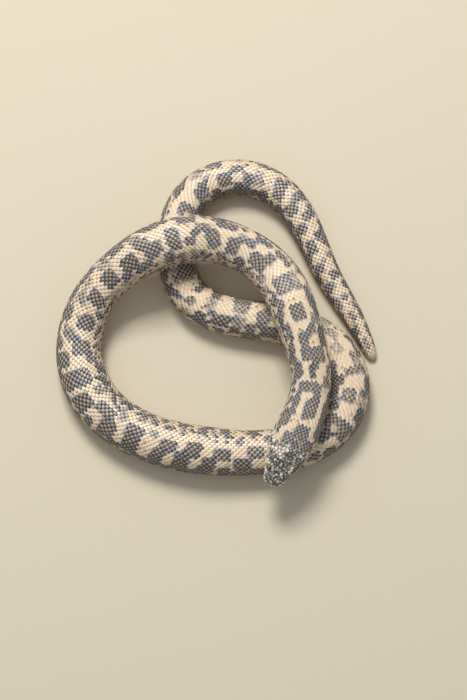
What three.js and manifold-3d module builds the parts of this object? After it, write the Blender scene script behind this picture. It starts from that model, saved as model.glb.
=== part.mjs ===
// A javelin sand boa at life size, lying in a loose coil with its head across its own body.
// Millimetres, +Z up. The belly lies on z = 0, and the origin is the middle of the coil's outline.
// Every place on the animal is given by its distance from the tip of the snout, measured
// along the plan of its body, so one set of profiles serves the head, the trunk and the tail.
import * as THREE from "three";
import { mergeVertices } from "three/addons/utils/BufferGeometryUtils.js";
import Module from "manifold-3d";

// ---------------------------------------------------------------- driving dimensions

// Plan of the body's middle line, from the snout to the tip of the tail.
const ROUTE = [
  [15.8, -49.5], [19.2, -42.8], [22.9, -35.3], [26.1, -27.4], [27.6, -18.7],
  [26.4, -9.9], [23.5, -0.2], [19.9, 8.9], [13.9, 16.5], [4.3, 21.9],
  [-7.4, 23.3], [-18.6, 20.4], [-28.8, 14.7], [-36.2, 7.1], [-40.0, -1.6],
  [-40.3, -12.5], [-35.4, -23.5], [-25.5, -31.8], [-12.5, -36.7], [1.4, -38.7],
  [14.4, -38.7], [26.0, -36.2], [35.0, -29.8], [38.8, -21.7], [37.7, -13.0],
  [30.5, -4.8], [18.5, -0.1], [6.6, 1.7], [-2.2, 4.3], [-8.3, 9.0],
  [-11.6, 17.2], [-11.9, 28.3], [-8.0, 38.3], [1.0, 44.2], [12.0, 44.0],
  [21.2, 38.2], [27.6, 28.2], [33.3, 15.4], [40.8, 2.4], [47.0, -10.5],
];

// Half of the width over the scales: [distance from the snout, half width].
const HALF_WIDTH = [
  [0, 1.7], [0.4, 2.4], [1.1, 2.9], [3, 3.6], [6.2, 4.8], [11.3, 6.1], [15.4, 6.7], [22, 6.4],
  [29, 5.95], [41, 6.0], [48, 6.4], [58, 6.85], [66, 6.8], [79, 6.5], [98, 6.95], [108, 6.8],
  [122, 6.25], [140, 6.75], [158, 7.1], [175, 7.0], [196, 7.15], [212, 6.6], [250, 6.5],
  [275, 6.1], [295, 5.8], [325, 5.8], [345, 5.5], [362, 5.45], [376, 5.0], [390, 4.4],
  [404, 3.75], [413, 3.3], [420, 2.7], [425, 2.1], [427.6, 1.4], [428.8, 0.5],
];

// Height of the back over the belly line: [distance from the snout, height].
const BACK_HEIGHT = [
  [0, 2.5], [0.4, 2.85], [1.1, 3.3], [3, 4.3], [6.2, 5.9], [9, 6.9], [12, 7.6], [15.4, 8.3],
  [22, 9.3], [29, 10.1], [41, 10.4], [58, 11.7], [79, 11.2], [98, 12.0], [122, 10.8],
  [158, 12.2], [196, 12.3], [212, 11.4], [250, 11.2], [275, 10.6], [295, 10.0], [325, 10.0],
  [345, 9.5], [362, 9.4], [376, 8.8], [390, 7.8], [404, 6.7], [413, 5.9], [420, 4.9],
  [425, 3.9], [427.6, 2.8], [428.8, 1.5],
];

// Height of the underside over the belly line, where the chin and the tail's tip rise.
const UNDERSIDE = [
  [0, 1.5], [0.4, 1.25], [1.1, 0.85], [3, 0.35], [6.2, 0.1], [9, 0], [420, 0], [425, 0.15],
  [427.6, 0.4], [428.8, 0.8],
];

// Height of the belly line over the floor, where the front of the body lies across the rest.
const LIFT = [
  [0, 12.3], [8, 12.0], [16, 11.9], [30, 10.6], [42, 11.3], [54, 10.8], [70, 8.0], [86, 9.3],
  [98, 10.7], [106, 10.2], [122, 5.6], [141, 0.3], [146, 0], [429, 0],
];

// How square the upper half of the section is: [distance from the snout, power], where a
// power of 2 is an ellipse. The crown of the head is flatter than the back.
const BACK_SQUARENESS = [[0, 2.6], [8, 2.5], [18, 2.25], [40, 2.15], [429, 2.15]];

// The section is a rounded back on a flat-bellied underside.
const WIDEST_LEVEL = 0.45; // of the height, where the section is widest
const BELLY_POWER = 2.6; // 2 is an ellipse, more is squarer
const BELLY_CUT = 0.865; // of the lower half's full depth, where the flat belly cuts it

const PARTING = 0.3; // gap between neighbouring lengths
const HEAD_END = 18;
const NECK_END = 50;
const TRUNK_ENDS = [90, 130, 168, 206, 244, 282, 311, 350, 390];
const TAIL_TIP = 428.8;

const BODY_STEP = 2.6; // along the body, between rings
const BODY_SIDES = 18; // faces round the back and flanks; the belly adds one
const HEAD_RINGS = 22;
const HEAD_SIDES = 26;
const EYE_SIDES = 16;
const EYE_RINGS = 10;

// The mouth, in the head's own side view: distance behind the snout, height over the belly line.
const MOUTH_FRONT = [1.2, 1.4];
const MOUTH_BEND = [6, 1.8];
const MOUTH_CORNER = [12.8, 3.1];
const THROAT_CUT = 13.2;
const CUTTER_DEPTH = 3; // below the belly line
const CUTTER_HALF_WIDTH = 9;

const EYE_RADIUS = 1;
const EYE_BACK = 4.3; // behind the snout
const EYE_SIDE = 2.55; // from the middle line to the ball's centre
const EYE_HEIGHT = 3.75; // over the belly line

const SCALE_MATERIAL = { color: 0xa58d76, roughness: 0.55, metalness: 0 };
const EYE_MATERIAL = { color: 0x7a6440, roughness: 0.12, metalness: 0 };

// ---------------------------------------------------------------- the middle line

// A plan curve through points, with its bend changing evenly: a natural cubic spline.
class MiddleLine extends THREE.Curve {
  constructor(points) {
    super();
    this.points = points.map(([x, y]) => new THREE.Vector3(x, y, 0));
    this.arcLengthDivisions = 4000;
    this.knots = [0];
    for (let i = 1; i < points.length; i++) {
      const span = this.points[i].distanceTo(this.points[i - 1]);
      this.knots.push(this.knots[i - 1] + span);
    }
    this.bends = this.solveBends();
  }

  // Second derivatives at the points, by elimination down the band and substitution back.
  solveBends() {
    const last = this.points.length - 1;
    const bends = this.points.map(() => new THREE.Vector3());
    const factor = new Array(last + 1).fill(0);
    for (let i = 1; i < last; i++) {
      const before = this.knots[i] - this.knots[i - 1];
      const after = this.knots[i + 1] - this.knots[i];
      const rise = this.points[i + 1].clone().sub(this.points[i]).divideScalar(after);
      rise.sub(this.points[i].clone().sub(this.points[i - 1]).divideScalar(before));
      const pivot = 2 * (before + after) - before * factor[i - 1];
      factor[i] = after / pivot;
      bends[i] = rise.multiplyScalar(6).sub(bends[i - 1].clone().multiplyScalar(before));
      bends[i].divideScalar(pivot);
    }
    for (let i = last - 1; i > 0; i--) {
      bends[i].sub(bends[i + 1].clone().multiplyScalar(factor[i]));
    }
    return bends;
  }

  getPoint(t, target = new THREE.Vector3()) {
    const last = this.points.length - 1;
    const u = t * this.knots[last];
    let i = 0;
    while (i < last - 1 && u > this.knots[i + 1]) i++;
    const span = this.knots[i + 1] - this.knots[i];
    const b = (u - this.knots[i]) / span;
    const a = 1 - b;
    target.set(0, 0, 0);
    target.addScaledVector(this.points[i], a);
    target.addScaledVector(this.points[i + 1], b);
    target.addScaledVector(this.bends[i], ((a ** 3 - a) * span ** 2) / 6);
    target.addScaledVector(this.bends[i + 1], ((b ** 3 - b) * span ** 2) / 6);
    return target;
  }

  // The place and the tailward direction at a distance from the snout.
  at(distance) {
    const u = THREE.MathUtils.clamp(distance / this.getLength(), 0, 1);
    return { point: this.getPointAt(u), along: this.getTangentAt(u) };
  }
}

// A size that changes along the body: a smooth curve that doesn't overshoot its stations.
class Profile {
  constructor(stations) {
    this.stations = stations;
    const rises = [];
    for (let i = 1; i < stations.length; i++) {
      const [s0, v0] = stations[i - 1];
      const [s1, v1] = stations[i];
      rises.push((v1 - v0) / (s1 - s0));
    }
    this.slopes = stations.map((_, i) => {
      if (i === 0) return rises[0];
      if (i === stations.length - 1) return rises[i - 1];
      const [before, after] = [rises[i - 1], rises[i]];
      return before * after > 0 ? (2 * before * after) / (before + after) : 0;
    });
  }

  at(distance) {
    const last = this.stations.length - 1;
    const s = THREE.MathUtils.clamp(distance, this.stations[0][0], this.stations[last][0]);
    let i = 0;
    while (i < last - 1 && s > this.stations[i + 1][0]) i++;
    const [s0, v0] = this.stations[i];
    const [s1, v1] = this.stations[i + 1];
    const span = s1 - s0;
    const t = (s - s0) / span;
    const far = t * t * (3 - 2 * t);
    const leave = t * (1 - t) * (1 - t) * span;
    const arrive = t * t * (t - 1) * span;
    return v0 * (1 - far) + v1 * far + this.slopes[i] * leave + this.slopes[i + 1] * arrive;
  }
}

const line = new MiddleLine(ROUTE);
const halfWidth = new Profile(HALF_WIDTH);
const backHeight = new Profile(BACK_HEIGHT);
const underside = new Profile(UNDERSIDE);
const lift = new Profile(LIFT);
const backSquareness = new Profile(BACK_SQUARENESS);

// ---------------------------------------------------------------- the skin's surface

const power = (value, exponent) => Math.sign(value) * Math.abs(value) ** exponent;
// The angle below the widest level at which the flat belly starts.
const BELLY_ANGLE = Math.asin(BELLY_CUT ** (BELLY_POWER / 2));

// A point of the section at a distance from the snout. The angle is 0 on the snake's
// right side, 90 degrees on the back and 180 degrees on its left side.
function skinPoint(distance, angle) {
  const { point, along } = line.at(distance);
  const low = underside.at(distance);
  const high = backHeight.at(distance);
  const widest = low + WIDEST_LEVEL * (high - low);
  const sine = Math.sin(angle);
  const squareness = sine > 0 ? backSquareness.at(distance) : BELLY_POWER;
  const side = halfWidth.at(distance) * power(Math.cos(angle), 2 / squareness);
  const reach = sine > 0 ? high - widest : (widest - low) / BELLY_CUT;
  const height = Math.max(widest + reach * power(sine, 2 / squareness), low);
  const z = lift.at(distance) + height;
  return new THREE.Vector3(point.x - along.y * side, point.y + along.x * side, z);
}

// A closed length of body through rings at the given distances, with a flat cap at each end.
function lengthOfBody(distances, sides) {
  const positions = [];
  const indices = [];
  const ringSize = sides + 1;
  for (const distance of distances) {
    for (let k = 0; k < ringSize; k++) {
      const angle = THREE.MathUtils.lerp(-BELLY_ANGLE, Math.PI + BELLY_ANGLE, k / sides);
      positions.push(...skinPoint(distance, angle).toArray());
    }
  }
  const quads = distances.length - 1;
  for (let i = 0; i < quads; i++) {
    for (let k = 0; k < ringSize; k++) {
      const a = i * ringSize + k;
      const b = i * ringSize + ((k + 1) % ringSize);
      indices.push(a, b, a + ringSize, b, b + ringSize, a + ringSize);
    }
  }
  const lastRing = quads * ringSize;
  for (let k = 1; k < ringSize - 1; k++) {
    indices.push(0, k + 1, k);
    indices.push(lastRing, lastRing + k, lastRing + k + 1);
  }
  const geometry = new THREE.BufferGeometry();
  geometry.setAttribute("position", new THREE.Float32BufferAttribute(positions, 3));
  geometry.setIndex(indices);
  return geometry;
}

// Ring distances for a plain length, parted from its neighbours by half a gap at each end.
function evenRings(from, to) {
  const start = from + PARTING / 2;
  const end = to - PARTING / 2;
  const steps = Math.ceil((end - start) / BODY_STEP);
  return Array.from({ length: steps + 1 }, (_, i) => start + ((end - start) * i) / steps);
}

// ---------------------------------------------------------------- cutting and joining

const wasm = await Module();
wasm.setup();

function toSolid(geometry) {
  const bare = geometry.clone();
  bare.deleteAttribute("normal");
  bare.deleteAttribute("uv");
  const merged = mergeVertices(bare, 1e-4);
  const triVerts = new Uint32Array(merged.index.array);
  const vertProperties = merged.attributes.position.array;
  return new wasm.Manifold(new wasm.Mesh({ numProp: 3, vertProperties, triVerts }));
}

function toGeometry(solid) {
  const { vertProperties, triVerts } = solid.getMesh();
  const geometry = new THREE.BufferGeometry();
  geometry.setAttribute("position", new THREE.BufferAttribute(vertProperties, 3));
  geometry.setIndex(new THREE.BufferAttribute(triVerts, 1));
  return geometry;
}

// ---------------------------------------------------------------- the head

// The head's own frame: x runs back from the snout, y to the snake's right, z up from the belly line.
function headFrame() {
  const { point } = line.at(0);
  const { along } = line.at(EYE_BACK);
  const right = new THREE.Vector3(-along.y, along.x, 0);
  const up = new THREE.Vector3(0, 0, 1);
  const frame = new THREE.Matrix4().makeBasis(along, right, up);
  return frame.setPosition(point.x, point.y, lift.at(EYE_BACK));
}

// The block of space under the mouth line, grown all round by a clearance.
function jawSpace(clearance) {
  const outline = new THREE.Shape();
  const front = MOUTH_FRONT[0] - clearance;
  outline.moveTo(front, -CUTTER_DEPTH);
  outline.lineTo(front, MOUTH_FRONT[1] + clearance);
  outline.quadraticCurveTo(
    MOUTH_BEND[0],
    MOUTH_BEND[1] + clearance,
    MOUTH_CORNER[0],
    MOUTH_CORNER[1] + clearance,
  );
  outline.lineTo(THROAT_CUT + clearance, MOUTH_CORNER[1] + clearance);
  outline.lineTo(THROAT_CUT + clearance, -CUTTER_DEPTH);
  const depth = 2 * CUTTER_HALF_WIDTH;
  const block = new THREE.ExtrudeGeometry(outline, { depth, bevelEnabled: false, curveSegments: 10 });
  block.translate(0, 0, -CUTTER_HALF_WIDTH);
  block.rotateX(Math.PI / 2);
  return block.applyMatrix4(headFrame());
}

// side is 1 for the snake's right eye and -1 for its left.
function eyeball(side, radius) {
  const ball = new THREE.SphereGeometry(radius, EYE_SIDES, EYE_RINGS);
  ball.translate(EYE_BACK, side * EYE_SIDE, EYE_HEIGHT);
  return ball.applyMatrix4(headFrame());
}

function headRings() {
  const end = HEAD_END - PARTING / 2;
  return Array.from({ length: HEAD_RINGS + 1 }, (_, i) => end * (i / HEAD_RINGS) ** 1.4);
}

const wholeHead = toSolid(lengthOfBody(headRings(), HEAD_SIDES));

function upperHead() {
  const sockets = [-1, 1].map((side) => toSolid(eyeball(side, EYE_RADIUS + PARTING)));
  const upper = wholeHead.subtract(toSolid(jawSpace(PARTING)));
  return toGeometry(upper.subtract(sockets[0]).subtract(sockets[1]));
}

function lowerJaw() {
  return toGeometry(wholeHead.intersect(toSolid(jawSpace(0))));
}

// ---------------------------------------------------------------- the snake

const snake = new THREE.Group();

function add(name, geometry, finish) {
  const mesh = new THREE.Mesh(geometry, new THREE.MeshStandardMaterial(finish));
  geometry.computeVertexNormals();
  mesh.name = name;
  snake.add(mesh);
}

add("head", upperHead(), SCALE_MATERIAL);
add("lower_jaw", lowerJaw(), SCALE_MATERIAL);
add("eye_right", eyeball(1, EYE_RADIUS), EYE_MATERIAL);
add("eye_left", eyeball(-1, EYE_RADIUS), EYE_MATERIAL);
add("neck", lengthOfBody(evenRings(HEAD_END, NECK_END), BODY_SIDES), SCALE_MATERIAL);

let start = NECK_END;
TRUNK_ENDS.forEach((end, i) => {
  add(`trunk_${i + 1}`, lengthOfBody(evenRings(start, end), BODY_SIDES), SCALE_MATERIAL);
  start = end;
});

const tailRings = evenRings(start, TAIL_TIP + PARTING / 2);
add("tail", lengthOfBody(tailRings, BODY_SIDES), SCALE_MATERIAL);

export default snake;
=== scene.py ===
"""Looks of a javelin sand boa lying in a loose coil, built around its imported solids.

The animal is worked out in millimetres, and turned into metres where a mesh is made. A place on
the body is its distance from the tip of the snout, measured along the plan of the middle line,
and its distance round the body from the middle of the back, + to the snake's right. One skin lies
inside the solids by the depth of the coat. It carries thin overlapping scales, the small shields
of the head and the plates of the belly. Skin and coat take their markings from one list.
"""

import logging
import math
from dataclasses import dataclass, field
from enum import Enum
from typing import Protocol

import bpy
import numpy as np
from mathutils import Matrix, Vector
from mathutils.bvhtree import BVHTree


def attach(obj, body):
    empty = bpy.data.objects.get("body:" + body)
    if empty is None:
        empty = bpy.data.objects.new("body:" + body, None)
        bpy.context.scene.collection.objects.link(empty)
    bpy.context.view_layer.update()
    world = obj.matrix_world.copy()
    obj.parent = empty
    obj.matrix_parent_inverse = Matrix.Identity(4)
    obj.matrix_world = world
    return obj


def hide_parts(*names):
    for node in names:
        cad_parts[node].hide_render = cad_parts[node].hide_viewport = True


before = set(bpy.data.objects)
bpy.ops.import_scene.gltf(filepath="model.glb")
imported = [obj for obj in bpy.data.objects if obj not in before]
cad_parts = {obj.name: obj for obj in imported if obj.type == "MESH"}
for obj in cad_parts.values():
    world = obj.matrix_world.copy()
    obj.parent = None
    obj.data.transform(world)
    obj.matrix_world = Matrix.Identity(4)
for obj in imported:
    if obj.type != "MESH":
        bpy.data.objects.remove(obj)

Array = np.ndarray
Colour = tuple[float, float, float, float]
Point = tuple[float, float]
Triple = tuple[float, float, float]
Piece = bpy.types.Object
Material = bpy.types.Material
Socket = bpy.types.NodeSocket

MM = 0.001  # metres in a millimetre
FAR = 9.0  # a distance beyond the reach of any detail of the head
BODY = "root"
FLESH = ("head", "lower_jaw", "neck", *(f"trunk_{i}" for i in range(1, 10)), "tail")
log = logging.getLogger("sand_boa")

# -------------------- the solids' own sizes

# Plan of the body's middle line, from the snout to the tip of the tail.
ROUTE = (
    (15.8, -49.5), (19.2, -42.8), (22.9, -35.3), (26.1, -27.4), (27.6, -18.7),
    (26.4, -9.9), (23.5, -0.2), (19.9, 8.9), (13.9, 16.5), (4.3, 21.9),
    (-7.4, 23.3), (-18.6, 20.4), (-28.8, 14.7), (-36.2, 7.1), (-40.0, -1.6),
    (-40.3, -12.5), (-35.4, -23.5), (-25.5, -31.8), (-12.5, -36.7), (1.4, -38.7),
    (14.4, -38.7), (26.0, -36.2), (35.0, -29.8), (38.8, -21.7), (37.7, -13.0),
    (30.5, -4.8), (18.5, -0.1), (6.6, 1.7), (-2.2, 4.3), (-8.3, 9.0),
    (-11.6, 17.2), (-11.9, 28.3), (-8.0, 38.3), (1.0, 44.2), (12.0, 44.0),
    (21.2, 38.2), (27.6, 28.2), (33.3, 15.4), (40.8, 2.4), (47.0, -10.5),
)
HALF_WIDTH = (
    (0, 1.7), (0.4, 2.4), (1.1, 2.9), (3, 3.6), (6.2, 4.8), (11.3, 6.1), (15.4, 6.7), (22, 6.4),
    (29, 5.95), (41, 6.0), (48, 6.4), (58, 6.85), (66, 6.8), (79, 6.5), (98, 6.95), (108, 6.8),
    (122, 6.25), (140, 6.75), (158, 7.1), (175, 7.0), (196, 7.15), (212, 6.6), (250, 6.5),
    (275, 6.1), (295, 5.8), (325, 5.8), (345, 5.5), (362, 5.45), (376, 5.0), (390, 4.4),
    (404, 3.75), (413, 3.3), (420, 2.7), (425, 2.1), (427.6, 1.4), (428.8, 0.5),
)
BACK_HEIGHT = (
    (0, 2.5), (0.4, 2.85), (1.1, 3.3), (3, 4.3), (6.2, 5.9), (9, 6.9), (12, 7.6), (15.4, 8.3),
    (22, 9.3), (29, 10.1), (41, 10.4), (58, 11.7), (79, 11.2), (98, 12.0), (122, 10.8),
    (158, 12.2), (196, 12.3), (212, 11.4), (250, 11.2), (275, 10.6), (295, 10.0), (325, 10.0),
    (345, 9.5), (362, 9.4), (376, 8.8), (390, 7.8), (404, 6.7), (413, 5.9), (420, 4.9),
    (425, 3.9), (427.6, 2.8), (428.8, 1.5),
)
UNDERSIDE = (
    (0, 1.5), (0.4, 1.25), (1.1, 0.85), (3, 0.35), (6.2, 0.1), (9, 0), (420, 0), (425, 0.15),
    (427.6, 0.4), (428.8, 0.8),
)
LIFT = (
    (0, 12.3), (8, 12.0), (16, 11.9), (30, 10.6), (42, 11.3), (54, 10.8), (70, 8.0), (86, 9.3),
    (98, 10.7), (106, 10.2), (122, 5.6), (141, 0.3), (146, 0), (429, 0),
)
BACK_SQUARENESS = ((0, 2.6), (8, 2.5), (18, 2.25), (40, 2.15), (429, 2.15))
WIDEST_LEVEL = 0.45  # of the height, where the section is widest
BELLY_POWER = 2.6
BELLY_CUT = 0.865  # of the lower half's full depth, where the flat belly cuts it
TAIL_TIP = 428.8

# The mouth, in the head's own side view: distance behind the snout, height over the belly line.
MOUTH_FRONT = (1.2, 1.4)
MOUTH_BEND = (6.0, 1.8)
MOUTH_CORNER = (12.8, 3.1)

EYE_RADIUS = 1.0
EYE_BACK = 4.3
EYE_SIDE = 2.55
EYE_HEIGHT = 3.75

# -------------------- the coat's own sizes

DARKEST = 1.4  # of the dark attribute, where 1 is a plain dark scale
COAT_DEPTH = 0.3  # from the solids' surface down to the skin
CROWN_END = 12.0  # where the shields of the head give way to scales, on the crown
JAW_END = 14.5  # and on the jaws
JAW_TURNS = (48, 78)  # turns from the top between which the crown's end becomes the jaws'

# How far the middle of the back is turned from the top of the body, in degrees, + to the right.
BACK_TURN = (
    (0, 0), (16, -4), (30, -12), (50, -10), (70, -3), (90, 0), (125, -2), (145, -8), (158, -23),
    (200, -26), (215, -25), (235, -20), (262, -15), (290, -8), (340, -8), (375, -5), (400, -3),
    (428, 0),
)
SCALE_PITCH = ((0, 1.3), (18, 1.4), (45, 1.5), (100, 1.58), (380, 1.55), (428, 1.3))
ROW_SPACING = ((0, 0.56), (18, 0.6), (40, 0.68), (70, 0.75), (110, 0.79), (250, 0.79),
               (340, 0.78), (385, 0.76), (428, 0.7))
BELLY_HALF = ((0, 0.6), (14, 0.9), (24, 1.9), (45, 2.25), (378, 2.1), (388, 1.4), (420, 0.9),
              (428, 0.5))
BELLY_PITCH = ((0, 1.3), (20, 1.7), (45, 2.1), (378, 2.1), (388, 1.5), (428, 1.3))
SHIELD_SPACING = ((0, 0.95), (5, 1.12), (14, 1.15))

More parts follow.
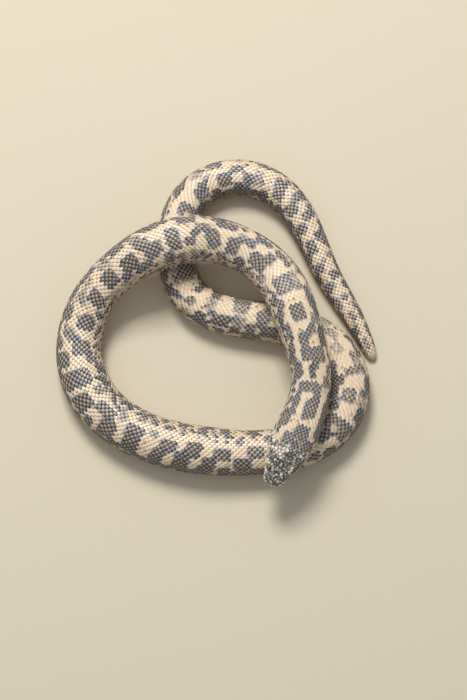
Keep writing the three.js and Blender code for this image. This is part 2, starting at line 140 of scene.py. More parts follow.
# Dark markings: from and to along the body, from and to round it in degrees from the top (+ to
# the right), how dark, and where it leans, how far its right-hand edge lies tailward of the middle.
# Rows low on the snake's left flank, from the top of the ring on to where the ring covers it, are partly
# its own marks and partly painted shade on that side of the body.
DARK_PATCHES = (
    # crown and cheeks
    (5, 6.6, 22, 40, .9), (7.4, 8.6, 40, 54, .8, .4), (10.8, 12.4, 54, 84, .75, .8),
    (12, 15.6, -30, 4, .55), (5, 9.2, -86, -50, .95), (4, 6.2, -18, 2, .7), (2.8, 5, 0, 12, .7),
    (9.2, 10.3, -13, -3, .8), (12.6, 13.8, -14, -2, 1.1), (11.2, 15.4, -56, -31, .85),
    (10.4, 12.6, -33, -14, .6), (15, 18.6, -28, 2, .9), (13.2, 15.6, 3, 22, .65), (10.8, 13.2, 12, 27, .5),
    # the last row here, low on the snout's left front, is partly painted shade where the snout turns away
    # from the light
    (6.6, 7.6, -24, -2, .7), (1.2, 2.6, -30, -8, .6), (1.6, 2.8, 16, 40, .6), (1, 5.4, -66, -36, .7),
    (0.4, 3.2, -28, 64, .5), (3.4, 5, -34, -16, .6), (9.6, 11, -90, -62, .7),
    # neck
    (21.2, 27, -28, 2, .85, -1), (26, 31, -29, -11, .8), (28.8, 31.5, -20, 32, .8),
    (21, 28.5, 23, 38, .85), (16.5, 22.3, 30, 62, .85, -.8), (24.7, 26.2, 35, 56, .7),
    (17, 26.6, -84, -48, .85), (26, 29.8, -84, -60, .85), (30.5, 33.3, -56, -36, .7),
    (33.6, 36.1, -65, -47, .75), (32.8, 36.6, -9, 3, 1), (35.4, 38, -20, -5, .85), (37, 41.3, -48, -8, .8),
    (38.1, 41.3, -10, 19, .85), (41, 46.2, -4, 14, .8), (44.8, 47.8, -36, -5, .8, -1.3),
    (47.5, 51.2, -60, -32, .55), (33.2, 37.7, 26, 52, .85), (38, 40.4, 42, 74, .85),
    (41, 44.3, 38, 56, .8), (46, 50, 30, 46, .8), (28, 29.4, 48, 58, .8), (30.8, 32.7, 49, 64, .85),
    (22, 24.2, 68, 84, .39), (29.2, 31, 72, 88, .39), (34.6, 36.6, 58, 76, .42),
    (41.6, 46.4, -93, -43, 1.1), (41.8, 43.3, 60, 82, .39), (49.2, 51.4, 60, 86, .39),
    (45.6, 47, 50, 60, .39),
    # front of the trunk
    (50, 54.7, -19, 12, .85), (50, 55.4, -70, -50, 1.1), (53.2, 59, -56, -41, .9), (59, 64.4, -14, 25, .8),
    (58.7, 64.4, -36, -14, .5), (55.2, 58, 23, 44, .75), (56.8, 59.4, 46, 60, .54), (59, 61.2, 34, 44, .6),
    (61.5, 65, 44, 62, .46, .4), (63, 65, 62, 76, .13), (65.8, 70.6, -47, -30, .75),
    (69.2, 71.6, -22, 4, .75), (69.4, 75.2, -1, 32, .85), (75.6, 80.8, -26, -12, .5),
    (75.7, 81.4, -13, -2, .85), (79.7, 83.2, -4, 36, .9), (66.2, 69.2, 29, 52, .5), (76, 79, 34, 58, 1),
    (70.5, 73.2, 50, 66, .52), (73.2, 75.8, 46, 74, .49, .7), (72.3, 76.8, -48, -30, .85),
    (82.3, 87.6, -50, -26, .9), (86.2, 90.2, -15, 22, .9, -1), (86.2, 89.4, 21, 36, .6),
    (89, 93.4, -26, -4, .6), (92.3, 94.4, -8, 10, .85), (93.4, 96.6, 8, 27, .85), (82.8, 86, 38, 60, .55),
    (89.5, 92, 40, 64, .55), (93, 95.2, 40, 68, .49), (93.5, 98, -52, -31, .85),
    (98.2, 101.8, -17, 34, .9, -.4), (96.8, 99.2, 45, 84, .55), (79.7, 82.2, 54, 84, .14),
    (86.5, 88.3, 58, 84, .13), (66.4, 70, 66, 86, .13), (52.3, 54.3, 34, 60, .7, -.4),
    (50, 51.6, 46, 60, .5), (70.6, 76, -93, -61, .98), (81.4, 86.6, -93, -65, .98),
    (60, 61.6, -93, -67, .98), (62.4, 63.9, -67, -52, .91), (64.4, 69.6, -93, -67, .91),
    (87, 89, -62, -51, .91), (90.6, 92, -91, -53, .91),
    # top of the ring
    (104.2, 109.7, -1, 24, .9, -.3), (105.6, 109.2, 22, 35, .8), (107.3, 111.4, -22, 1, .8, -.4),
    (109, 112.2, -42, -20, .6, -.3), (112.6, 117, -4, 33, 1), (116.5, 119.2, 29, 49, .9),
    (120.3, 124.2, -7, 33, 1), (119, 122.8, -45, -7, .5), (127.8, 131.4, -6, 37, .9, .5),
    (130, 132.7, -36, -5, .5), (126, 129.4, -36, -18, .45), (135.3, 139.6, 1, 33, .9),
    (136.7, 139.3, -6, 4, .85), (142, 147.6, -11, 3, .9), (143.3, 147.6, 0, 29, .85),
    (139.4, 142.6, -40, -12, .6, .9), (101, 104.2, 35, 70, .72), (108.4, 112.7, 34, 53, .72),
    (122.4, 127, 41, 63, .42, -1.6), (132.3, 134.3, 31, 62, .68), (133, 135.5, 62, 86, .12),
    (139.7, 141.4, 42, 60, .45), (143, 146.1, 50, 74, .45), (148.4, 150.6, 20, 46, .7),
    (147.8, 150, 56, 70, .1), (103.4, 107.3, -62, -36, .7), (107.4, 109.4, -72, -54, .76),
    (114, 118, -62, -30, .85), (123.2, 128, -61, -42, .86), (139, 141, -83, -61, .81),
    (129.2, 132.4, -64, -48, .81), (134, 137.8, -64, -30, .85), (142.2, 145.1, -78, -43, .78),
    (146.4, 150, -60, -23, .85), (146.6, 149, -91, -59, .86), (101, 103, -62, -45, .76),
    (110.7, 113.2, -85, -45, .76, .6), (115.2, 117.6, -93, -63, .76), (119.5, 121.6, -93, -63, .81),
    (128.6, 132.4, -93, -65, .81), (100.5, 104, 72, 90, .12), (105.6, 108.4, 60, 88, .12),
    (110.6, 113, 64, 86, .12), (114.4, 116.2, 46, 64, .37), (118.3, 120.1, 42, 64, .39),
    (123.2, 127.2, 66, 88, .12), (128.5, 130.6, 58, 78, .12), (136, 140, 70, 88, .12),
    # left of the ring
    (151.9, 156.1, -60, -14, .85), (151.9, 156.8, -16, 15, .85), (158.4, 162.3, -58, -9, .95, .3),
    (167.5, 171.6, -60, -12, .95), (163.3, 169.6, -14, 8, .85), (175, 178.9, -68, -10, 1),
    (174.3, 179.3, -12, 6, .85), (182.6, 186, -76, -38, .95, .4), (183.5, 186.6, -42, -20, .9, .5),
    (184.8, 189.3, -24, 0, .9, .5), (189.4, 193.4, -76, -28, 1, .4), (192.1, 196.5, -28, 6, 1, .8),
    (189.2, 191, -28, -19, .7), (158.8, 161.6, 8, 25, .55), (160.2, 162.4, 25, 42, .5),
    (170.4, 172.8, 2, 18, .55), (169.4, 171.2, 22, 33, .5), (165, 166.7, 26, 38, .65),
    (181, 183.4, 1, 14, .55), (155.8, 158.5, 35, 54, .8), (152.4, 154.6, 39, 62, .9),
    (162, 164, 41, 55, .7), (165, 167, 56, 70, .7), (166.8, 169.4, 44, 54, .6), (169.6, 172, 50, 62, .75),
    (172.4, 174.2, 56, 71, .75), (176.3, 178.5, 27, 55, .65), (180.1, 182.3, 28, 46, .6),
    (178.5, 180.5, 54, 68, .8), (184.6, 186.6, 26, 38, .85), (189.3, 191.3, 25, 37, .5),
    (189, 191.4, 43, 57, .8), (195, 197, 32, 56, .7), (197.8, 199.8, 56, 74, .8),
    (150, 152.2, -74, -59, .98), (156, 158.2, -80, -64, .8), (163.4, 165.6, -69, -43, .9),
    (166.8, 169, -84, -66, .8), (172, 174.3, -74, -56, 1), (179.4, 181.8, -84, -64, .9),
    (186.4, 189, -88, -70, .8), (193, 195.2, -84, -68, .8), (160.4, 162.4, -90, -66, .8),
    (169.6, 171.5, -92, -70, .85), (183, 185, -92, -76, .8), (153, 155, -92, -74, .8),
    (175.6, 178, -92, -76, .85), (190.6, 192.6, -92, -78, .85),
    # near side, on to where the ring covers it
    (196.2, 200.4, -66, -46, 1), (197.4, 200.9, -48, -22, .95), (200.4, 205.2, -26, -2, .9),
    (202, 204.9, -88, -50, 1), (206.4, 210.9, -56, -22, .95), (211, 214.5, -88, -53, .9),
    (210.2, 214.9, -20, 6, .7), (206.8, 208.9, 9, 28, .55), (203.4, 205, 30, 42, .75),
    (202, 204.6, 46, 66, .9), (199.4, 200.9, 32, 50, .4), (211.1, 212.9, 45, 62, .85),
    (210.5, 214.5, 60, 84, .8), (215.3, 217, 18, 35, .8), (205.3, 210.6, -92, -62, .8),
    (194.8, 196.4, -92, -60, .8), (197.6, 199.6, -92, -68, .85), (216.5, 221, -58, -20, .9),
    (219, 222.5, -22, 6, .85), (218, 221, 40, 66, .8), (221.5, 224.5, -88, -58, .85),
    (224.5, 227.5, -28, 4, .8), (225, 228, 30, 58, .8),
    # right-hand arc
    (226, 229.5, -62, -38, .9), (230.5, 233.5, -88, -50, 1), (234.5, 236, -88, -70, .8),
    (238, 241, -88, -66, .9), (235.3, 239.5, -60, 22, .85), (230.8, 235, -22, 0, 1),
    (241.4, 244, -68, -38, 1), (240.8, 243.4, -92, -72, .8), (244.2, 248.8, -60, -28, .45),
    (247, 248.3, -60, -38, .8), (244.4, 248.6, -19, 12, .65), (249, 251.7, -88, -48, 1),
    (240.7, 243.1, 10, 36, 1), (243.8, 245.2, 20, 44, .7), (246, 250, 28, 52, 1),
    (249.8, 252.8, 13, 52, 1), (253, 256.8, 28, 46, .9), (252.4, 254, -55, -40, .7),
    (253, 258, -45, -20, .45), (252.6, 255, -38, 6, .6), (260.4, 262.1, -88, -50, 1),
    (256.5, 260.5, -62, -47, .8), (257, 258.6, -30, -18, .7), (258.2, 263, -17, 8, .45),
    (263, 268.5, -38, -15, .5), (267, 269.6, -84, -42, .5), (256.8, 259, 20, 44, .7),
    (236, 239, 50, 76, .8), (255.5, 259, 56, 80, .8), (263, 266, 40, 70, .8), (268, 272, -10, 24, .8),
    (270.5, 274, -60, -28, .8), (273.5, 277.5, -26, 18, .85), (275, 279, 36, 66, .85),
    (277, 280.5, -84, -50, .9),
    # hairpin inside the ring
    (283.2, 287, -27, 20, .85), (280, 285.5, 25, 62, 1), (285.5, 289.7, 25, 33, .9),
    (287.3, 289.5, 28, 56, .9), (285.5, 288.5, -88, -50, 1.1), (289, 294.5, -88, -35, .92),
    (289.6, 294.3, -36, -4, .62), (290, 294, 4, 40, .45), (291.6, 294, 12, 25, .7),
    (295, 299.4, 13, 48, 1, .8), (291.7, 294.1, 45, 66, 1), (295.9, 297.6, 61, 84, .9),
    (299, 302.9, -88, -33, 1.03), (299.2, 303.4, -30, 5, .5), (299, 301, 8, 22, .85),
    (301.5, 304.1, 27, 68, 1, .4), (300, 301.8, 62, 84, .85), (305.6, 309, -88, -34, 1.03),
    (306.2, 308.8, -36, -16, 1.1), (305.7, 308.1, 4, 28, .7, .3), (309.3, 311.6, 27, 46, 1, .4),
    (311.2, 314, 44, 70, 1, .5), (310.6, 312.6, -84, -54, .98), (308.7, 310.5, 65, 84, .8),
    (311.2, 317, -35, 24, .5), (315, 317.5, -88, 0, .85), (313.5, 317, -50, 5, .88),
    (315, 317.3, 40, 78, 1), (316.8, 318, 25, 40, .6), (312.8, 315, -88, -72, .92),
    (319.5, 323, -40, 16, .85), (320, 323, 34, 62, .9), (322.5, 325.5, -84, -48, .9),
    (326.5, 330, -28, 22, .85), (327, 330, 36, 66, .85), (330, 333, -70, -40, .85),
    (285, 288.6, 64, 84, .7), (305.4, 307.6, 52, 72, .6),
    # far loop
    (335, 337.4, -55, -5, .8), (333.4, 337.4, -12, 8, .75), (337.5, 341.5, -88, -49, 1),
    (341.1, 345.8, -46, -28, .65), (343, 346, -30, -16, .69), (341.3, 343.6, -35, -4, .9, .4),
    (343.3, 346.8, -17, 3, 1.03, .9), (346, 348, 3, 12, .57), (347, 349.9, -75, -38, 1),
    (346, 352, -88, -60, .9), (342, 344.2, -88, -66, .85), (350.2, 354.7, -37, 2, .9, .2),
    (352, 355.2, -88, -54, .75), (355, 361, -88, -60, .75), (355.6, 358.4, -58, -30, 1),
    (358, 361.4, -58, -46, .9), (358.6, 361.2, -42, -28, .6), (361.3, 364, -76, -50, .9),
    (363.4, 368.4, -58, -45, 1), (365.8, 367.8, -46, -35, .9), (354.6, 357, 0, 14, .92, .8),
    (355.8, 358.3, 8, 23, .75), (358.3, 361.4, -28, 2, .8, -.4), (361.3, 365.3, -28, -5, .6),
    (362, 364, -5, 17, .5), (338.3, 342.3, 28, 57, 1.03, .9), (343.5, 347, 22, 45, .46),
    (333, 337.3, 50, 84, .85), (349.2, 353, 42, 84, .9, .8), (351, 352.5, 22, 40, .52),
    (356.2, 357.8, 45, 80, .5), (360, 361, 52, 75, .5), (362.3, 364.3, 42, 66, .55),
    (365.6, 368, 46, 82, .6), (368.8, 372.4, -36, 26, .75, -1), (370.5, 371.8, 33, 50, .6),
    (373.2, 375.2, -88, -48, 1), (375, 377.2, -72, -62, .85), (372, 373.6, 50, 78, .9),
    (376, 379.6, -46, 0, .6), (377, 379.3, -20, 0, .9), (374.7, 376.8, 0, 36, .65),
    (374.6, 377.3, 35, 58, 1), (378.8, 380.4, 32, 56, .6), (367.6, 369.6, -88, -66, .8),
    (376.4, 379.6, -88, -72, .8), (339, 340.4, 60, 80, .7), (345, 346.6, 56, 80, .7),
    # tail
    (380, 382.4, -88, -52, 1), (383.1, 386, -60, -5, .65), (384, 385.4, -45, -8, .9),
    (380.4, 382.8, 0, 56, .7, -.4), (386.6, 388.6, -88, -48, .95), (388.5, 392, -88, -62, .9),
    (392, 394.8, -88, -42, .9), (389, 393, -38, -3, .8), (387.2, 389.8, 8, 45, .75),
    (387.3, 389, 14, 27, 1), (384, 386, 50, 84, 1), (389, 392, 40, 66, .55), (396.2, 399, -40, -5, .7),
    (395.2, 396.5, -5, 12, .5), (394, 395.8, 25, 57, .55), (399, 401.6, -88, -55, 1),
    (402.3, 405.5, -58, -25, .7), (400, 402.2, 0, 38, .8), (395.8, 400, 52, 84, 1),
    (402.7, 404.7, -22, -5, .55), (404, 406.2, 36, 64, 1), (405.5, 407.5, -88, -60, .9),
    (408, 411, -68, -22, .55), (407.5, 409.4, -5, 22, .65), (407.8, 410.2, 45, 84, .9),
    (410.8, 413, 22, 42, .65), (413.6, 416.6, 36, 84, .9), (413.2, 416.2, -20, 0, .65),
    (418, 420.3, -88, -28, 1), (417.5, 420.4, -28, -8, .5), (418.2, 420.7, 30, 64, .65),
    (421, 423, -88, -48, 1), (422, 425.4, -20, 5, .55), (400.2, 402.5, 52, 84, .75),
    (386, 388, 45, 62, .7), (420.8, 425.4, 58, 90, .75), (411.4, 416.6, -92, -66, .8),
    (397.4, 401.8, -56, -46, .75), (384.2, 386, -92, -66, .8),
)
# Pale islands, in the same way, that break the dark markings.
PALE_PATCHES = (
    (75.8, 79.2, 1, 24, 1), (90.6, 93, 6, 26, 1), (235.5, 237, -20, -5, .6), (255, 259, -18, 8, .9),
    (259, 263, -50, -20, .9), (240.5, 244, -35, 8, .9), (285.5, 287.2, 36, 52, .4),
    (285, 288.8, -48, -22, .9), (287.4, 289.4, -20, 18, .9), (295, 299, -70, 8, .9),
    (303, 306, -60, 0, .9), (308.7, 311.5, -40, 20, .9), (355.4, 358, -26, -2, 1),
)

# -------------------- finishes


def paint(red: float, green: float, blue: float) -> Colour:
    """A colour given on the usual 0 to 255 screen scale.

    Args:
        red: the red channel.
        green: the green channel.
        blue: the blue channel.

    Returns:
        The colour in the linear light that a shader takes, opaque.
    """
    share = [channel / 255 for channel in (red, green, blue)]
    linear = [c / 12.92 if c <= 0.04045 else ((c + 0.055) / 1.055) ** 2.4 for c in share]
    return (linear[0], linear[1], linear[2], 1.0)


@dataclass(frozen=True)
class Value:
    """An output socket, whose arithmetic adds Math nodes."""

    graph: "Graph"
    socket: Socket

    def _math(self, operation: str, first: object, second: object) -> "Value":
        """A Math node of two inputs."""
        return self.graph.value("Math", {"operation": operation}, {0: first, 1: second})

    def __add__(self, other: object) -> "Value":
        """self + other"""
        return self._math("ADD", self, other)

    def __sub__(self, other: object) -> "Value":
        """self - other"""
        return self._math("SUBTRACT", self, other)

    def __rsub__(self, other: object) -> "Value":
        """other - self"""
        return self._math("SUBTRACT", other, self)

    def __mul__(self, other: object) -> "Value":
        """self * other"""
        return self._math("MULTIPLY", self, other)

    __radd__ = __add__
    __rmul__ = __mul__

    def between(self, low: float, high: float, to: Point = (0.0, 1.0)) -> "Value":
        """An even turn from to[0] at low to to[1] at high."""
        sockets = {"Value": self, "From Min": low, "From Max": high, "To Min": to[0], "To Max": to[1]}
        return self.graph.value("MapRange", {"interpolation_type": "SMOOTHSTEP"}, sockets)


class Graph:
    """The nodes of one material."""

    def __init__(self, name: str) -> None:
        """Starts an empty material.

        Args:
            name: the material's name.
        """
        self.material = bpy.data.materials.new(name)
        self.material.use_nodes = True
        self.tree = self.material.node_tree
        self.tree.nodes.clear()

    def node(self, kind: str, settings: dict | None = None,
             sockets: dict | None = None) -> bpy.types.Node:
        """Adds a node.

        Args:
            kind: the node's type, without the words ShaderNode.
            settings: its settings, which are set first.
            sockets: values of its inputs, or what is linked to them.

        Returns:
            The node.
        """
        made = self.tree.nodes.new("ShaderNode" + kind)
        for key, value in (settings or {}).items():
            setattr(made, key, value)
        for key, value in (sockets or {}).items():
            source = value.socket if isinstance(value, Value) else value
            if isinstance(source, Socket):
                self.tree.links.new(source, made.inputs[key])
            else:
                made.inputs[key].default_value = source
        return made

    def value(self, kind: str, settings: dict | None = None, sockets: dict | None = None,
              output: int | str = 0) -> Value:
        """One output of a new node, for sums."""
        return Value(self, self.node(kind, settings, sockets).outputs[output])

    def attribute(self, name: str) -> Value:
        """A mesh attribute."""
        return self.value("Attribute", {"attribute_name": name}, None, "Fac")

    def noise(self, size: float, detail: float = 2.0) -> Value:
        """Noise fixed to the animal.

        Args:
            size: the size of its features, in millimetres.
            detail: how many finer layers it has.

        Returns:
            The noise, from 0 to 1.
        """
        place = self.node("TexCoord").outputs["Object"]
        sockets = {"Vector": place, "Scale": 1 / (size * MM), "Detail": detail}
        return self.value("TexNoise", None, sockets, "Fac")

    def mix(self, share: object, first: object, second: object, blend: str = "MIX") -> Socket:
        """A mix of two colours.

        Args:
            share: how much of the second there is.
            first: a colour or its socket.
            second: a colour or its socket.
            blend: the kind of mix.

        Returns:
            The mixed colour.
        """
        settings = {"data_type": "RGBA", "blend_type": blend}
        made = self.node("Mix", settings, {0: share, 6: first, 7: second})
        return made.outputs[2]

    def finish(self, sockets: dict) -> Material:
        """Ends the material in a Principled shader.

        Args:
            sockets: values of the shader's inputs, or what is linked to them.

        Returns:
            The material.
        """
        shader = self.node("BsdfPrincipled", None, sockets)
        self.node("OutputMaterial", None, {"Surface": shader.outputs[0]})
        return self.material

    def bump(self, height: Value, depth: float) -> Socket:
        """A normal from a height map, depth in millimetres."""
        sockets = {"Height": height, "Strength": 1.0, "Distance": depth * MM}
        return self.node("Bump", None, sockets).outputs[0]


class Finish(Protocol):
    """What covers a piece."""

    name: str

    def material(self) -> Material:
        """The node material."""


class Slot(Enum):
    """The record's material slots."""

    SCALES = "scales"
    EYE = "eye"


def settle(pieces: list[Piece], finish: Finish) -> None:
    """Gives pieces their finish, and sets them on the body.

    Args:
        pieces: the pieces.
        finish: what covers them all; its material is made only once.
    """
    material = bpy.data.materials.get(finish.name) or finish.material()
    for piece in pieces:
        piece.data.materials.append(material)
        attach(piece, BODY)


@dataclass(frozen=True)
class ScaleFinish:
    """Dry scales: cream with a tan tip, or slate to brown with a black tip and rim; the slate's faint blue
    is painted sky sheen.
    """

    name: str
    cream: Colour = paint(230, 210, 183)
    peach: Colour = paint(223, 195, 161)
    tan: Colour = paint(172, 138, 96)
    rust: Colour = paint(132, 96, 54)
    slate: Colour = paint(140, 138, 146)  # at the border of a dark mark; its faint blue is painted sky sheen
    clay: Colour = paint(174, 152, 124)  # in its middle
    black: Colour = paint(30, 24, 19)
    rim: Colour = paint(172, 138, 96)
    rim_share: float = 0.32
    tip_spot: float = 0.42
    fleck: float = 0.12

    def material(self) -> Material:
        """Makes the node material.

        Returns:
            The material.
        """
        graph = Graph(self.name)
        dark, edge, tip, tone, warm = (
            graph.attribute(key) for key in ("dark", "edge", "tip", "tone", "warm")
        )
        grain = graph.noise(0.22, 3.0)
        cloud = graph.noise(6.0, 1.0)
        pale = graph.mix(tone * 0.8 + cloud * 0.3, self.cream, self.peach)
        pale = graph.mix(edge.between(0.72, 1.0) * self.rim_share, pale, self.rim)
        pale = graph.mix(tip.between(0.5, 0.9) * self.tip_spot, pale, self.tan)
        # rust: the scales' own rusty tone, and on the flanks partly painted warm bounce light
        pale = graph.mix(warm * tip.between(0.15, 0.85), pale, self.rust)
        # slate at a mark's border, its faint blue a painted sky sheen; clay in its middle
        deep = graph.mix(tone, self.slate, self.clay)
        deep = graph.mix(edge.between(0.6, 0.9) * (0.62 + tone * 0.2), deep, self.black)
        tipped = (tip + dark * 0.34 + grain * 0.2).between(0.84, 1.08)
        deep = graph.mix(tipped * 0.9, deep, self.black)
        colour = graph.mix(dark.between(0.08, 0.7), pale, deep)
        bright, dull = (graph.noise(size, 3.0).between(0.5, 0.62) for size in (0.62, 0.45))
        colour = graph.mix(bright * self.fleck, colour, self.cream)
        colour = graph.mix(dull * self.fleck, colour, self.black)
        mottle = grain.between(0.3, 0.7, (0.86, 1.08))
        mottle = graph.value("CombineColor", None, {0: mottle, 1: mottle, 2: mottle})
        height = grain * 0.6 + graph.noise(0.07, 1.0) * 0.4
        return graph.finish({
            "Base Color": graph.mix(1.0, colour, mottle, "MULTIPLY"),
            "Roughness": 0.44 + grain * 0.16,
            "Coat Weight": 0.2 + tone * 0.14,
            "Coat Roughness": 0.38,
            "Specular IOR Level": 0.5,
            "Normal": graph.bump(height, 0.02),
        })


@dataclass(frozen=True)
class SkinFinish:
    """The thin skin between the scales."""

    name: str = "skin_between_scales"
    pale: Colour = paint(150, 118, 86)
    dark: Colour = paint(30, 26, 24)

    def material(self) -> Material:
        """Makes the node material.

        Returns:
            The material.
        """
        graph = Graph(self.name)
        grain = graph.noise(0.18, 3.0)
        shade = graph.mix(graph.attribute("dark"), self.pale, self.dark)
        colour = graph.mix(grain.between(0.35, 0.75) * 0.35, shade, self.dark)
        return graph.finish({
            "Base Color": colour,
            "Roughness": 0.62 + grain * 0.15,
            "Normal": graph.bump(grain, 0.03),
        })


@dataclass(frozen=True)
class EyeFinish:
    """A wet eye: a speckled iris and an upright pupil under a clear scale."""

    name: str = "eye_iris_and_pupil"
    iris: Colour = paint(92, 76, 52)
    fleck: Colour = paint(146, 128, 92)
    rust: Colour = paint(60, 40, 26)
    pupil: Colour = paint(6, 5, 5)
    pupil_half: Point = (0.17, 0.55)  # across, upright

    def material(self) -> Material:
        """Makes the node material.

        Returns:
            The material.
        """
        graph = Graph(self.name)
        across, upright, out = (graph.attribute(key) for key in ("across", "upright", "out"))
        x, y = across * (1 / self.pupil_half[0]), upright * (1 / self.pupil_half[1])
        slit = (x * x + y * y).between(0.8, 1.25)
        speckle = graph.noise(0.12, 3.0)
        iris = graph.mix(speckle.between(0.4, 0.62), self.iris, self.fleck)
        iris = graph.mix(graph.noise(0.3).between(0.45, 0.7), iris, self.rust)
        iris = graph.mix(1 - out.between(0.45, 0.72), iris, self.pupil)
        return graph.finish({
            "Base Color": graph.mix(slit, self.pupil, iris),
            "Roughness": 0.12 + speckle * 0.05,
            "Coat Weight": 1.0,
            "Coat Roughness": 0.03,
            "Normal": graph.bump(speckle, 0.004),
        })


@dataclass(frozen=True)
class FloorFinish:
    """A plain pale floor with a faint grain."""

    name: str = "pale_floor"
    colour: Colour = paint(196, 183, 158)
    grain: Colour = paint(150, 140, 125)
    grain_share: float = 0.06

    def material(self) -> Material:
        """Makes the node material.

        Returns:
            The material.
        """
        graph = Graph(self.name)
        share = graph.noise(2.0, 3.0) * self.grain_share
        shade = graph.mix(share, self.colour, self.grain)
        return graph.finish({"Base Color": shade, "Roughness": 0.85})


# -------------------- working along the body


def smooth(value: Array, low: float, high: float) -> Array:
    """0 up to low, 1 from high on, and an even turn between them."""
    t = np.clip((value - low) / (high - low), 0, 1)
    return t * t * (3 - 2 * t)


def unit(vectors: Array) -> Array:
    """The vectors at length 1."""
    return vectors / np.maximum(np.linalg.norm(vectors, axis=-1, keepdims=True), 1e-12)


def signed_power(value: Array, exponent: Array) -> Array:
    """A power that keeps the sign of its value."""
    return np.sign(value) * np.abs(value) ** exponent


def hill(distance: Array, width: float, power: int = 2) -> Array:
    """1 at no distance, and next to 0 well beyond the width; power 4 has a flatter top."""
    return np.exp(-((distance / width) ** power))


def turn_from_top(angle: Array, middle: Array | float = 0.0) -> Array:
    """A section angle as a turn from the top, or from a middle turned from it, in degrees."""
    return (90 - np.degrees(angle) - middle + 180) % 360 - 180


class Profile:
    """A size that changes along the body: a smooth curve that doesn't overshoot its stations."""

    def __init__(self, stations: tuple[Point, ...]) -> None:
        """Works out the slope at each station.

        Args:
            stations: pairs of distance from the snout and value.
        """
        self.places, self.values = np.array(stations, float).T
        rises = np.diff(self.values) / np.diff(self.places)
        before, after = rises[:-1], rises[1:]
        total = np.where(before + after == 0, 1, before + after)
        inner = np.where(before * after > 0, 2 * before * after / total, 0)
        self.slopes = np.concatenate([rises[:1], inner, rises[-1:]])

    def __call__(self, distance: Array) -> Array:
        """The value at each distance from the snout.

        Args:
            distance: distances from the snout.

        Returns:
            The values.
        """
        s = np.clip(distance, self.places[0], self.places[-1])
        i = np.clip(np.searchsorted(self.places, s, side="right") - 1, 0, len(self.places) - 2)
        span = self.places[i + 1] - self.places[i]
        t = (s - self.places[i]) / span
        far = t * t * (3 - 2 * t)
        leave = t * (1 - t) ** 2 * span * self.slopes[i]
        arrive = t * t * (t - 1) * span * self.slopes[i + 1]
        return self.values[i] * (1 - far) + self.values[i + 1] * far + leave + arrive


def pitched(pitch: Profile, start: float, end: float, shift: float = 0.0) -> Array:
    """Distances from the snout that lie a pitch apart.

    Args:
        pitch: the pitch along the body.
        start: where they start.
        end: where they end.
        shift: how far all of them move tailward, in pitches.

    Returns:
        The distances.
    """
    fine = np.arange(start, end, 0.1)
    count = np.cumsum(0.1 / pitch(fine))
    return np.interp(np.arange(0.5, count[-1]) + shift, count, fine)


class MiddleLine:
    """The plan of the body's middle line, a natural cubic spline through the route."""

    SAMPLES = 20001

    def __init__(self, route: tuple[Point, ...]) -> None:
        """Solves the spline and samples it by its own length.

        Args:
            route: the points it passes through.
        """
        points = np.array(route, float)
        count = len(points)
        knots = np.concatenate([[0], np.cumsum(np.linalg.norm(np.diff(points, axis=0), axis=1))])
        spans = np.diff(knots)
        system = np.eye(count)
        rises = np.zeros((count, 2))
        for i in range(1, count - 1):
            system[i, i - 1:i + 2] = spans[i - 1], 2 * (spans[i - 1] + spans[i]), spans[i]
            after = (points[i + 1] - points[i]) / spans[i]
            rises[i] = 6 * (after - (points[i] - points[i - 1]) / spans[i - 1])
        bends = np.linalg.solve(system, rises)
        u = np.linspace(0, knots[-1], self.SAMPLES)
        i = np.clip(np.searchsorted(knots, u, side="right") - 1, 0, count - 2)
        b = ((u - knots[i]) / spans[i])[:, None]
        a = 1 - b
        pull = (a ** 3 - a) * bends[i] + (b ** 3 - b) * bends[i + 1]
        self.places = a * points[i] + b * points[i + 1] + pull * (spans[i] ** 2)[:, None] / 6
        steps = np.linalg.norm(np.diff(self.places, axis=0), axis=1)
        self.lengths = np.concatenate([[0], np.cumsum(steps)])
        self.headings = unit(np.gradient(self.places, self.lengths, axis=0))
        turn = np.unwrap(np.arctan2(self.headings[:, 1], self.headings[:, 0]))
        self.turns = np.gradient(turn, self.lengths)

    def _read(self, distance: Array, table: Array) -> Array:
        """A sampled vector at each distance from the snout."""
        columns = [np.interp(distance, self.lengths, table[:, k]) for k in range(2)]
        return np.stack(columns, -1)

    def place(self, distance: Array) -> Array:
        """The point of the plan at each distance from the snout."""
        return self._read(distance, self.places)

    def heading(self, distance: Array) -> Array:
        """The tailward direction at each distance from the snout."""
        return unit(self._read(distance, self.headings))

    def turn(self, distance: Array) -> Array:
        """How fast the line turns towards the snake's right, in radians for each millimetre."""
        return np.interp(distance, self.lengths, self.turns)


